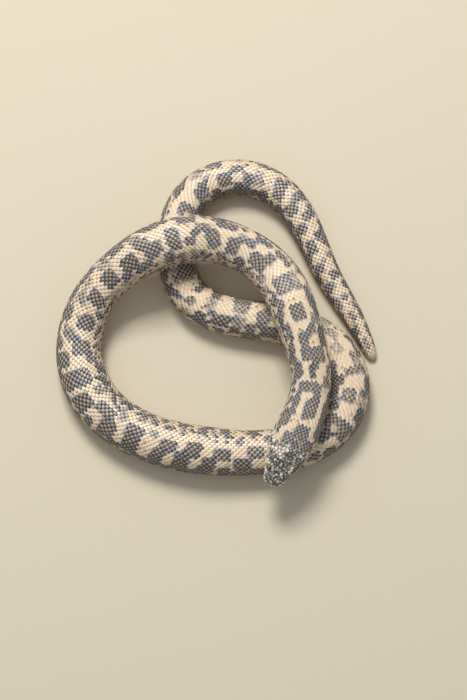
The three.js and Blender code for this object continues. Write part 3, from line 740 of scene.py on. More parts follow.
@dataclass
class Body:
    """The outer surface of the scales, and the way round it from the middle of the back."""

    step: float = 0.8  # along the body, between the rings of the chart
    columns: int = 161  # places of the chart, round the body
    fold_length: float = 3.2
    fold_depth: float = 0.5  # of the share by which the skin is pressed together
    fold_from: float = 0.9  # of its true length, below which pressed skin folds
    fold_most: float = 0.4

    def __post_init__(self) -> None:
        """Reads the solids' sizes and charts the way round each section."""
        self.line = MiddleLine(ROUTE)
        self.half_width = Profile(HALF_WIDTH)
        self.back_height = Profile(BACK_HEIGHT)
        self.underside = Profile(UNDERSIDE)
        self.lift = Profile(LIFT)
        self.squareness = Profile(BACK_SQUARENESS)
        self.back_turn = Profile(BACK_TURN)
        self._chart()

    def section(self, s: Array, angle: Array) -> tuple[Array, Array]:
        """The section's offset to the snake's right and its height over the belly line.

        Args:
            s: distance from the snout.
            angle: 0 on the right side, a quarter turn on the back, a half turn on the left.

        Returns:
            The offset and the height.
        """
        low = self.underside(s)
        high = self.back_height(s)
        widest = low + WIDEST_LEVEL * (high - low)
        sine = np.sin(angle)
        power = 2 / np.where(sine > 0, self.squareness(s), BELLY_POWER)
        side = self.half_width(s) * signed_power(np.cos(angle), power)
        reach = np.where(sine > 0, high - widest, (widest - low) / BELLY_CUT)
        return side, np.maximum(widest + reach * signed_power(sine, power), low)

    def surface(self, s: Array, angle: Array) -> Array:
        """Points of the solids' surface.

        Args:
            s: distance from the snout.
            angle: the section angle.

        Returns:
            The points.
        """
        s, angle = np.broadcast_arrays(np.clip(s, 0, TAIL_TIP), angle)
        side, height = self.section(s, angle)
        place = self.line.place(s)
        heading = self.line.heading(s)
        across = place[..., 0] - heading[..., 1] * side
        along = place[..., 1] + heading[..., 0] * side
        return np.stack([across, along, self.lift(s) + height], -1)

    def normal(self, s: Array, angle: Array) -> Array:
        """The outward direction of the surface.

        Args:
            s: distance from the snout.
            angle: the section angle.

        Returns:
            The directions, at length 1.
        """
        reach, swing = 0.04, 0.004
        back = self.surface(s + reach, angle) - self.surface(s - reach, angle)
        up = self.surface(s, angle + swing) - self.surface(s, angle - swing)
        return unit(np.cross(up, back))

    def stretch(self, s: Array, angle: Array) -> Array:
        """How far the skin is drawn out by the bend of the body, 1 where it isn't."""
        return 1 - self.line.turn(s) * self.section(s, angle)[0]

    def _chart(self) -> None:
        """Fills the table of section angles by distance and by share of the half girth."""
        rings = np.arange(0, TAIL_TIP, self.step)
        lowest = -270
        angles = np.radians(np.arange(lowest, 451))
        side, height = self.section(rings[:, None], angles[None])
        steps = np.hypot(np.diff(side, axis=1), np.diff(height, axis=1))
        way = np.concatenate([np.zeros((len(rings), 1)), np.cumsum(steps, axis=1)], axis=1)
        shares = np.linspace(-1, 1, self.columns)
        top = np.radians(90 - self.back_turn(rings))
        self.rings = rings
        self.half_girths = (way[:, 270 - lowest] - way[:, -90 - lowest]) / 2
        self.angles = np.empty((len(rings), self.columns))
        for i, half in enumerate(self.half_girths):
            start = np.interp(top[i], angles, way[i])
            self.angles[i] = np.interp(start - shares * half, way[i], angles)

    def half_girth(self, s: Array) -> Array:
        """Half of the way round the body."""
        return np.interp(s, self.rings, self.half_girths)

    def angle(self, s: Array, round_: Array) -> Array:
        """The section angle of a place on the body.

        Args:
            s: distance from the snout.
            round_: distance round the body from the middle of the back, + to the right.

        Returns:
            The angle, in radians.
        """
        share = np.clip(round_ / self.half_girth(s), -1, 1)
        column = (share + 1) / 2 * (self.columns - 1)
        row = np.clip(s / self.step, 0, len(self.rings) - 1.001)
        i, j = row.astype(int), np.minimum(column.astype(int), self.columns - 2)
        a, b = row - i, column - j
        near = self.angles[i, j] * (1 - b) + self.angles[i, j + 1] * b
        far = self.angles[i + 1, j] * (1 - b) + self.angles[i + 1, j + 1] * b
        return near * (1 - a) + far * a

    def raised(self, s: Array, angle: Array, rise: Array) -> Array:
        """A point over or under the surface, which is folded where a bend presses it together.

        Args:
            s: distance from the snout.
            angle: the section angle.
            rise: height over the surface, - under it.

        Returns:
            The points.
        """
        pressed = np.clip(self.fold_from - self.stretch(s, angle), 0, self.fold_most)
        ripple = 0.5 - 0.5 * np.cos(2 * np.pi * s / self.fold_length)
        depth = rise - self.fold_depth * pressed * ripple
        return self.surface(s, angle) + depth[..., None] * self.normal(s, angle)

    def place(self, s: Array, round_: Array, rise: Array) -> Array:
        """A point over the surface, given by its distance round from the middle of the back."""
        return self.raised(s, self.angle(s, round_), rise)


def shield_end(turn: Array) -> Array:
    """Where the head's shields end, by the turn from the top of the head in degrees."""
    return CROWN_END + (JAW_END - CROWN_END) * smooth(np.abs(turn), *JAW_TURNS)


@dataclass
class Markings:
    """The dark patches of the animal, which skin and coat share."""

    body: Body  # its width turns degrees into millimetres
    softness: float = 0.2  # half of the width of a patch's edge
    rounding: float = 0.4  # of a patch's smaller half size
    growth: float = 0.3  # how far a dark patch reaches beyond its listed edges
    reach: float = 6.0  # along the body, beyond which a patch counts for nothing
    border: float = 0.9  # width of the slate border round a patch's brown middle
    raggedness: float = 0.15  # how far a patch's edge strays from scale to scale
    flank_turns: tuple[Point, Point] = ((33, 60), (115, 140))  # where the flanks start and end
    nape_end: Point = (12, 16)
    nape_turns: Point = (22, 34)
    flank_specks: float = 0.31  # share of the flanks' scales that are dark specks
    nape_specks: float = 0.4
    speck_dark: Point = (0.9, 1.4)
    core_gain: float = 0.2
    unevenness: float = 0.08
    ochre_share: Point = (0.05, 0.22)  # share of rusty scales, and how many more on the flanks
    ochre_strength: Point = (0.4, 1)
    flank_ochre: float = 0.22  # the least rust on the flanks: partly their own tone, partly painted warm bounce light from the ground
    flank_evenness: float = 0.7
    core_tone: float = 0.75

    def _weight(self, patch: tuple[float, ...], s: Array, turn: Array, ragged: Array) -> Array:
        """How far inside a patch each place is.

        Args:
            patch: the patch, as it is listed.
            s: distance from the snout.
            turn: the turn from the top of the body, in degrees.
            ragged: how far each place counts as being outside, in millimetres.

        Returns:
            0 outside to 1 inside.
        """
        front, back, left, right, _, lean = (*patch, 0)[:6]
        degree = math.radians(1) * self.body.half_width(s)
        middle, half_turn = (left + right) / 2, (right - left) / 2
        share = np.clip((turn - middle) / half_turn, -1, 1)
        half_long = (back - front) / 2
        half_round = half_turn * degree
        corner = self.rounding * np.minimum(half_long, half_round)
        x = np.abs(s - (front + back) / 2 - lean * share) - half_long + corner
        y = np.abs(turn - middle) * degree - half_round + corner
        outside = np.hypot(np.maximum(x, 0), np.maximum(y, 0))
        distance = outside + np.minimum(np.maximum(x, y), 0) - corner + ragged - self.growth
        return 1 - smooth(distance, -self.softness, self.softness)

    def darkness(self, s: Array, angle: Array, ragged: Array) -> Array:
        """How dark the animal is at each place.

        Args:
            s: distance from the snout.
            angle: the section angle.
            ragged: how far each place counts as being outside, in millimetres.

        Returns:
            The darkness, from 0 to 1.
        """
        turn = turn_from_top(angle)
        dark = np.zeros(np.shape(s))
        for patches, pale in ((DARK_PATCHES, False), (PALE_PATCHES, True)):
            for patch in patches:
                near = np.abs(s - (patch[0] + patch[1]) / 2) < self.reach + patch[1] - patch[0]
                weight = patch[4] * self._weight(patch, s[near], turn[near], ragged[near])
                dark[near] = dark[near] * (1 - weight) if pale else np.maximum(dark[near], weight)
        return dark

    def scales(self, s: Array, angle: Array, dice: np.random.Generator) -> dict[str, Array]:
        """What makes each scale differ from the next.

        Args:
            s: distance of each scale from the snout.
            angle: its section angle.
            dice: the source of chance.

        Returns:
            One array for each of the coat's attributes that is the same all over a scale.
        """
        count = len(s)
        flank_start, flank_end = self.flank_turns
        few, more = self.ochre_share
        ragged = dice.normal(0, self.raggedness, count)
        dark = self.darkness(s, angle, ragged)
        core = self.darkness(s, angle, ragged + self.border)
        away = np.abs(turn_from_top(angle, self.body.back_turn(s)))
        flank = smooth(away, *flank_start) * (1 - smooth(away, *flank_end))
        nape = (1 - smooth(s, *self.nape_end)) * (1 - smooth(away, *self.nape_turns))
        chosen = dice.random(count) < self.flank_specks * flank + self.nape_specks * nape
        speck = chosen * dice.uniform(*self.speck_dark, count)
        mark = dark.copy()
        dark = np.maximum(dark + self.core_gain * smooth(dark, 0.93, 1), speck)
        dark = dark + dice.normal(0, self.unevenness, count) * smooth(dark, 0.05, 0.4)
        dark = np.clip(dark, 0, DARKEST)
        rusty = dice.random(count) < few + more * flank
        rust_and_bounce = rusty * dice.uniform(*self.ochre_strength, count)
        # the flanks get at least a set rust: partly their own tone, partly painted warm bounce light from
        # the ground
        rust_and_bounce = np.maximum(rust_and_bounce, self.flank_ochre * flank)
        tone = dice.random(count) * (1 - self.flank_evenness * flank)
        middle = core / np.maximum(mark, 0.2)
        tone += smooth(mark, 0.2, 0.5) * self.core_tone * (middle - tone)
        tone = np.clip(tone, 0, 1)
        return {"dark": dark, "mark": mark, "tone": tone, "warm": rust_and_bounce}


# -------------------- meshes


def placed(name: str, data: bpy.types.ID) -> Piece:
    """Adds an object that shows some data to the scene.

    Args:
        name: the object's name.
        data: its mesh, light or camera.

    Returns:
        The object.
    """
    made = bpy.data.objects.new(name, data)
    bpy.context.scene.collection.objects.link(made)
    return made


def copies(faces: Array, count: int, points: int) -> Array:
    """The triangles of many plates of one layout, each with its own points."""
    return (faces + points * np.arange(count)[:, None, None]).reshape(-1, 3)


@dataclass
class MeshParts:
    """Points in millimetres, triangles, and what goes with them."""

    points: Array
    faces: Array
    rounded: Array
    values: dict[str, Array] = field(default_factory=dict)
    patches: Array | None = None  # OFBake places, one for each corner of each triangle

    def build(self, name: str) -> Piece:
        """Makes the mesh in metres and the object that shows it.

        Args:
            name: the piece's name.

        Returns:
            The object.
        """
        mesh = bpy.data.meshes.new(name)
        mesh.vertices.add(len(self.points))
        mesh.vertices.foreach_set("co", (self.points * MM).astype(np.float32).ravel())
        mesh.loops.add(self.faces.size)
        mesh.loops.foreach_set("vertex_index", self.faces.astype(np.int32).ravel())
        mesh.polygons.add(len(self.faces))
        mesh.polygons.foreach_set("loop_start", np.arange(0, self.faces.size, 3, dtype=np.int32))
        mesh.polygons.foreach_set("use_smooth", self.rounded.astype(bool))
        for key, value in self.values.items():
            attribute = mesh.attributes.new(key, "FLOAT", "POINT")
            attribute.data.foreach_set("value", value.astype(np.float32))
        if self.patches is not None:
            layer = mesh.uv_layers.new(name="OFBake")
            layer.data.foreach_set("uv", self.patches.astype(np.float32).ravel())
        mesh.update()
        return placed(name, mesh)


@dataclass(frozen=True)
class Plate:
    """A small closed plate in its own units: a domed top, a rim and a flat underside."""

    outline: Array  # (n, 2), anticlockwise seen from outside
    inner: float  # size of the inner ring, as a share of the outline
    middle: Point  # where the crown is

    @property
    def sides(self) -> int:
        """How many points the outline has."""
        return len(self.outline)

    def layout(self) -> Array:
        """Lays the plate out.

        Returns:
            Its points: underside, rim, inner ring and crown.
        """
        middle = np.array(self.middle)
        ring = middle + self.inner * (self.outline - middle)
        return np.concatenate([self.outline, self.outline, ring, middle[None]])

    def edge(self) -> Array:
        """1 on the rim, less on the inner ring and 0 at the crown."""
        n = self.sides
        return np.concatenate([np.ones(2 * n), np.full(n, self.inner), [0]])

    def faces(self) -> tuple[Array, Array]:
        """Joins the points.

        Returns:
            The triangles, and which of them belong to the rounded top.
        """
        n = self.sides
        k = np.arange(n)
        j = (k + 1) % n
        under, rim, ring, crown = k, k + n, k + 2 * n, np.full(n, 3 * n)
        top = [(crown, ring, j + 2 * n), (ring, rim, j + n), (ring, j + n, j + 2 * n)]
        wall = [(under, j, j + n), (under, j + n, rim)]
        floor = np.stack([np.zeros(n - 2, int), k[2:], k[1:-1]], -1)
        upper = np.concatenate([np.stack(t, -1) for t in top])
        lower = np.concatenate([np.stack(t, -1) for t in wall] + [floor])
        rounded = np.arange(len(upper) + len(lower)) < len(upper)
        return np.concatenate([upper, lower]), rounded

    def patch(self, size: float) -> Array:
        """Where each triangle's corners lie in a patch of the OFBake map round its root.

        Args:
            size: the patch's width.

        Returns:
            (triangles, 3, 2) offsets, the underside beside the top.
        """
        n = self.sides
        turn = 2 * np.pi * np.arange(n) / n
        circle = np.stack([np.cos(turn), np.sin(turn)], -1) * size / 2
        spots = np.concatenate([circle, 0.8 * circle, 0.45 * circle, np.zeros((1, 2))])
        faces, _ = self.faces()
        corners = spots[faces]
        floor = (faces < n).all(1)
        corners[floor] += (0, 1.3 * size)
        return corners


class RingMesh:
    """A closed tube through rings of points that are the same way round."""

    def __init__(self) -> None:
        """Starts with no rings."""
        self.rings: list[Array] = []
        self.marks: list[float] = []

    def add(self, points: Array, mark: float) -> None:
        """Adds a ring; one point alone closes an end. The mark is its place along the tube."""
        self.rings.append(points)
        self.marks.append(mark)

    def corners(self) -> Array:
        """Joins the rings.

        Returns:
            (triangles, 3, 2): each corner's ring and its unwrapped place round it.
        """
        parts = []
        for i in range(len(self.rings) - 1):
            n, m = len(self.rings[i]), len(self.rings[i + 1])
            k = np.arange(max(n, m)) if n == m or 1 in (n, m) else np.arange(m)
            if n == 1:
                parts.append(self._triangle(i, (0 * k, k + 1, k), (0, 1, 1)))
            elif m == 1:
                parts.append(self._triangle(i, (k, k + 1, 0 * k), (0, 0, 1)))
            elif n == m:
                parts.append(self._triangle(i, (k, k + 1, k), (0, 0, 1)))
                parts.append(self._triangle(i, (k + 1, k + 1, k), (0, 1, 1)))
            else:
                parts.append(self._triangle(i, (2 * k, 2 * k + 1, k), (0, 0, 1)))
                parts.append(self._triangle(i, (2 * k + 1, 2 * k + 2, k + 1), (0, 0, 1)))
                parts.append(self._triangle(i, (2 * k + 1, k + 1, k), (0, 1, 1)))
        return np.concatenate(parts)

    @staticmethod
    def _triangle(ring: int, places: tuple[Array, ...], steps: tuple[int, ...]) -> Array:
        """One triangle for each place round a ring."""
        return np.stack([np.stack([0 * p + ring + d, p], -1) for p, d in zip(places, steps)], 1)

    def parts(self, strips: int, length: float) -> MeshParts:
        """The mesh, with the tube unrolled into strips for its OFBake map.

        Args:
            strips: how many lengths the tube's map is cut into.
            length: the tube's whole length.

        Returns:
            The mesh's parts.
        """
        counts = np.array([len(r) for r in self.rings])
        starts = np.concatenate([[0], np.cumsum(counts)])
        corners = self.corners()
        ring, spot = corners[..., 0], corners[..., 1]
        faces = starts[ring] + spot % counts[ring]
        marks = np.array(self.marks)[ring]
        each = length / strips
        strip = np.clip(np.floor(marks.min(1) / each), 0, strips - 1)[:, None]
        along = 0.02 + 0.96 * (marks - strip * each) / (each * 1.03)
        round_ = (strip + 0.03 + 0.94 * spot / np.maximum(counts[ring], 2)) / strips
        patches = np.clip(np.stack([along, round_], -1), 0, 1)
        return MeshParts(np.concatenate(self.rings), faces, np.ones(len(faces)), {}, patches)


# -------------------- the head


class HeadFrame:
    """The head's own axes: x back from the snout, y to the snake's right, z up."""

    def __init__(self, body: Body) -> None:
        """Sets the axes from the body's middle line.

        Args:
            body: the body's own sizes.
        """
        heading = body.line.heading(EYE_BACK)
        self.body = body
        self.origin = np.array([*body.line.place(0.0), float(body.lift(EYE_BACK))])
        self.axes = np.array([[*heading, 0], [-heading[1], heading[0], 0], [0, 0, 1]])

    def world(self, place: Array) -> Array:
        """Points of the head's own axes in the frame of the solids."""
        return self.origin + np.asarray(place) @ self.axes

    def own(self, points: Array) -> Array:
        """Points of the solids' frame in the head's own axes."""
        return (points - self.origin) @ self.axes.T

    def mouth(self, share: Array) -> Array:
        """The mouth line in side view.

        Args:
            share: how far along the mouth, 0 at its front and 1 at its corner.

        Returns:
            Distance behind the snout and height.
        """
        t = np.asarray(share, float)[..., None]
        front, bend, corner = (np.array(p) for p in (MOUTH_FRONT, MOUTH_BEND, MOUTH_CORNER))
        return (1 - t) ** 2 * front + 2 * t * (1 - t) * bend + t * t * corner

    def eye(self, side: int) -> Array:
        """The middle of an eyeball. side is 1 on the right and -1 on the left."""
        return self.world((EYE_BACK, side * EYE_SIDE, EYE_HEIGHT))

    def angle_at(self, s: Array, height: Array, side: int) -> Array:
        """Where the head's side has a height.

        Args:
            s: distance from the snout.
            height: the height, in the head's own axes.
            side: 1 on the right and -1 on the left.

        Returns:
            The section angle.
        """
        body = self.body
        low, high = body.underside(s), body.back_height(s)
        widest = low + WIDEST_LEVEL * (high - low)
        over = height + self.origin[2] - body.lift(s) - widest
        reach = np.where(over > 0, high - widest, (widest - low) / BELLY_CUT)
        power = np.where(over > 0, body.squareness(s), BELLY_POWER) / 2
        angle = np.arcsin(np.clip(signed_power(over / reach, power), -1, 1))
        return angle if side > 0 else np.pi - angle


@dataclass(frozen=True)
class HeadRelief:
    """The creases and hollows of the head's skin, as heights over the plain form."""

    lip_depth: float = 0.3
    lip_half: float = 0.15
    lip_roll: Triple = (0.06, 0.6, 0.35)  # rise, distance from the mouth line, half width
    slit: float = 0.045  # half of the gap between the lips
    slit_ends: Point = (0.4, 1.2)  # lengths over which it opens at the front and closes behind
    most_parted: float = 0.8
    mouth_dark: Point = (1.6, 0.13)  # painted shade along the mouth's slit: how dark, half width
    # painted shade in the nostrils: how dark, half width
    nostril_dark: Point = (1.8, 0.3)
    nostril_depth: float = 0.5
    nostril_size: float = 0.3
    nostril_squash: float = 1.6  # how much longer it is than high
    nostril_back: float = 1.5
    nostril_height: float = 2.75
    socket_depth: float = 0.4
    socket_radius: float = 0.95
    socket_outlook: Triple = (-0.3, 3.6, 0.9)  # x from the eye, y, z from the eye
    brow: Triple = (0.1, 1.35, 0.3)  # rise, distance from the eye's middle, half width
    cheek: Triple = (2.9, 3.3, 2.5)
    cheek_hollow: Point = (0.16, 0.8)  # depth, size

    def nostril(self, head: HeadFrame, side: int) -> Array:
        """Where a nostril opens."""
        back = np.array(self.nostril_back)
        return head.body.surface(back, head.angle_at(back, np.array(self.nostril_height), side))

    def mouth_gap(self, head: HeadFrame, points: Array) -> Array:
        """How far points are from the mouth line.

        Args:
            head: the head's own axes.
            points: the points.

        Returns:
            The distances, in side view.
        """
        view = head.own(points)[:, [0, 2]]
        front = np.array([[MOUTH_FRONT[0], -1.0], MOUTH_FRONT])
        line = np.concatenate([front[:1], head.mouth(np.linspace(0, 1, 16))])
        gap = np.full(len(points), FAR)
        for a, b in zip(line[:-1], line[1:]):
            t = np.clip(((view - a) @ (b - a)) / ((b - a) @ (b - a)), 0, 1)
            gap = np.minimum(gap, np.linalg.norm(view - a - t[:, None] * (b - a), axis=1))
        return gap

    def parted(self, head: HeadFrame, middle: Array, points: Array) -> Array:
        """A shield's points, moved up or down so that none crosses the mouth's slit.

        Args:
            head: the head's own axes.
            middle: the shield's middle.
            points: the points.

        Returns:
            The points, each on the middle's side of the slit.
        """
        line = head.mouth(np.linspace(0, 1, 24))
        own = head.own(np.concatenate([middle[None], points]))
        over = own[:, 2] - np.interp(own[:, 0], line[:, 0], line[:, 1])
        side = math.copysign(1, over[0])
        back = own[1:, 0]
        open_ = smooth(back, MOUTH_FRONT[0] - self.slit_ends[0], MOUTH_FRONT[0])
        open_ *= 1 - smooth(back, MOUTH_CORNER[0] - self.slit_ends[1], MOUTH_CORNER[0])
        push = np.clip(self.slit - side * over[1:], 0, None) * (open_ > 0.01)
        return points + (side * np.minimum(push, self.most_parted * open_))[:, None] * (0, 0, 1)

    def shade(self, head: HeadFrame, points: Array) -> Array:
        """Paints shade into the mouth line and the nostrils, where the slit and the holes lie in shadow.

        Args:
            head: the head's own axes.
            points: points of the skin.

        Returns:
            Their painted shade, as darkness over 1 in the middle of an opening.
        """
        most, half = self.mouth_dark
        dark = most * hill(self.mouth_gap(head, points), half, 4)
        most, half = self.nostril_dark
        for side in (1, -1):
            hole = np.linalg.norm(points - self.nostril(head, side), axis=1)
            dark = np.maximum(dark, most * hill(hole, half, 4))
        return dark

    def heights(self, head: HeadFrame, points: Array) -> Array:
        """How far each point of the skin stands over the plain form.

        Args:
            head: the head's own axes.
            points: points of the plain skin.

        Returns:
            The heights, - where the skin sinks in.
        """
        gap = self.mouth_gap(head, points)
        roll_rise, roll_place, roll_half = self.lip_roll
        brow_rise, brow_place, brow_half = self.brow
        hollow_depth, hollow_size = self.cheek_hollow
        squash = np.diag([1, 1, self.nostril_squash])
        rise = -self.lip_depth * hill(gap, self.lip_half)
        rise += roll_rise * hill(gap - roll_place, roll_half)
        for side in (1, -1):
            hole = np.linalg.norm((points - self.nostril(head, side)) @ squash, axis=1)
            rise -= self.nostril_depth * hill(hole, self.nostril_size)
            away = points - head.eye(side)
            x, y, z = self.socket_outlook
            outward = unit(head.world((EYE_BACK + x, side * y, EYE_HEIGHT + z)) - head.eye(side))
            off = np.linalg.norm(away - (away @ outward)[:, None] * outward, axis=1)
            off = np.where(away @ outward > 0, off, FAR)
            rise -= self.socket_depth * hill(off, self.socket_radius, 4)
            rise += brow_rise * hill(off - brow_place, brow_half)
            x, y, z = self.cheek
            cheek = head.world((x, side * y, z))
            rise -= hollow_depth * hill(np.linalg.norm(points - cheek, axis=1), hollow_size)
        return rise


@dataclass
class Skin:
    """The one skin under the coat, from the snout to the tip of the tail."""

    body: Body
    head: HeadFrame
    markings: Markings
    relief: HeadRelief = field(default_factory=HeadRelief)
    finish: SkinFinish = field(default_factory=SkinFinish)
    head_step: float = 0.2
    head_round: int = 192
    body_step: float = 0.9
    body_round: int = 96
    head_length: float = 18.0
    snout_rings: tuple[float, ...] = (0.0, 0.3, 0.6, 0.85)  # sizes of the rings that close the snout
    tail_rings: Point = (0.6, 0.0)
    bulges: Point = (-0.12, 0.05)  # of the snout's end and the tail's, + tailward
    first_ring: float = 0.02  # behind the snout
    last_rings: Point = (0.35, 0.1)  # before the tip of the tail
    cap_length: float = 3.0  # length that a closed end counts for in the OFBake map
    deepest: float = 0.16  # of the half width, which keeps the skin shallow at the two tips
    strips: int = 6  # lengths that the OFBake map is cut into

    def _depth(self, s: Array) -> Array:
        """How deep the skin lies: less near the two tips, where the body is thin."""
        return np.minimum(COAT_DEPTH, self.deepest * self.body.half_width(s))

    def _angles(self, count: int) -> Array:
        """Section angles evenly round a ring."""
        return -np.pi / 2 + 2 * np.pi * np.arange(count) / count

    def tube(self, carved: bool) -> tuple[RingMesh, Array, Array]:
        """Rings of the skin.

        Args:
            carved: whether the head has its creases.

        Returns:
            The tube, and for each of its points the distance from the snout and the angle.
        """
        tube = RingMesh()
        ends = np.arange(self.head_length, TAIL_TIP - 0.4, self.body_step)
        head = np.arange(self.first_ring, self.head_length - 0.1, self.head_step)
        rings = [(s, self.head_round) for s in head] + [(s, self.body_round) for s in ends]
        rings += [(TAIL_TIP - gap, self.body_round) for gap in self.last_rings]
        made = []
        for s, count in rings:
            depth = np.full(count, -float(self._depth(s)))
            made.append((s, self.body.raised(np.full(count, s), self._angles(count), depth)))
        for share in self.snout_rings:
            tube.add(*self._cap(made[0], share, self.bulges[0]))
        for s, points in made:
            tube.add(points, s)
        for share in self.tail_rings:
            tube.add(*self._cap(made[-1], share, self.bulges[1]))
        places = [np.full(len(r), m) for r, m in zip(tube.rings, tube.marks)]
        angles = [self._angles(len(r)) if len(r) > 1 else np.zeros(1) for r in tube.rings]
        distance, angle = np.concatenate(places), np.concatenate(angles)
        if carved:
            points = np.concatenate(tube.rings)
            near = distance < self.head_length
            turned = self.body.normal(np.clip(distance[near], 0.1, None), angle[near])
            rise = self.relief.heights(self.head, points[near])
            points[near] += rise[:, None] * turned
            tube.rings = np.split(points, np.cumsum([len(r) for r in tube.rings])[:-1])
        return tube, distance, angle

    def _cap(self, ring: tuple[float, Array], share: float, bulge: float) -> tuple[Array, float]:
        """A smaller ring that closes an end.

        Args:
            ring: the end ring: its distance from the snout and its points.
            share: the smaller ring's size, 0 for the middle point alone.
            bulge: how far the middle stands out beyond the end, in millimetres tailward.

        Returns:
            The points and the mark that RingMesh.add takes.
        """
        s, points = ring
        middle = points.mean(0)
        heading = np.array([*self.body.line.heading(s), 0])
        inner = middle + share * (points - middle) + bulge * (1 - share ** 2) * heading
        mark = s + self.cap_length * (1 - share) * np.sign(bulge)
        return (inner.mean(0)[None] if share == 0 else inner), mark

    def plain_tree(self) -> BVHTree:
        """The head's skin without its creases.

        Returns:
            A tree to look up the nearest point of.
        """
        tube, distance, _ = self.tube(False)
        parts = tube.parts(self.strips, TAIL_TIP)
        near = (distance[parts.faces] < self.head_length).all(1)
        return BVHTree.FromPolygons(parts.points.tolist(), parts.faces[near].tolist())

    def build(self) -> list[Piece]:
        """Makes the skin.

        Returns:
            The one piece.
        """
        tube, distance, angle = self.tube(True)
        parts = tube.parts(self.strips, TAIL_TIP)
        dark = self.markings.darkness(np.clip(distance, 0, TAIL_TIP), angle, np.zeros(len(angle)))
        near = distance < self.head_length
        # painted shade in the mouth's slit and the nostrils
        dark[near] = np.maximum(dark[near], self.relief.shade(self.head, parts.points[near]))
        parts.values = {"dark": np.clip(dark, 0, 1)}
        return [parts.build("skin")]

    def dress(self, pieces: list[Piece]) -> None:
        """Finishes the skin, which stands for all of the solids' flesh.

        Args:
            pieces: the skin.
        """
        settle(pieces, self.finish)
        for piece in pieces:
            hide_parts(*FLESH)


# -------------------- the coat


@dataclass(frozen=True)
class ScaleShape:
    """A body scale: along from root to tip in half pitches, across in row spacings."""

    half_outline: tuple[Point, ...] = (
        (1.12, 0.14), (0.98, 0.37), (0.68, 0.57), (0.15, 0.69), (-0.6, 0.66), (-1.45, 0.35),
    )
    inner: float = 0.6  # size of the inner ring
    middle: Point = (-0.22, 0)
    root_rise: float = -0.3
    tip_rise: float = -0.03
    crown: float = 0.07
    thickness: float = 0.1

    def plate(self) -> Plate:
        """Mirrors the half outline.

        Returns:
            The plate.
        """
        half = np.array(self.half_outline)
        other = half[::-1] * (1, -1)
        return Plate(np.concatenate([half, other]), self.inner, self.middle)

    def rises(self, layout: Array, sides: int) -> Array:
        """Leans the plate from root to tip.

        Args:
            layout: the plate's points.
            sides: how many points its outline has.

        Returns:
            Their heights over the solids' surface.
        """
        root, tip = self.half_outline[-1][0], self.half_outline[0][0]
        share = (layout[:, 0] - root) / (tip - root)
        rise = self.root_rise + share * (self.tip_rise - self.root_rise)
        lower = np.arange(len(layout)) < sides
        inside = np.arange(len(layout)) >= 2 * sides
        return rise - self.thickness * lower + self.crown * inside * (1.2 - share)


class Side(Enum):
    """The three bands of the coat, as shares of the half girth."""

    LEFT = (-1.0, -0.31)
    BACK = (-0.31, 0.31)
    RIGHT = (0.31, 1.0)


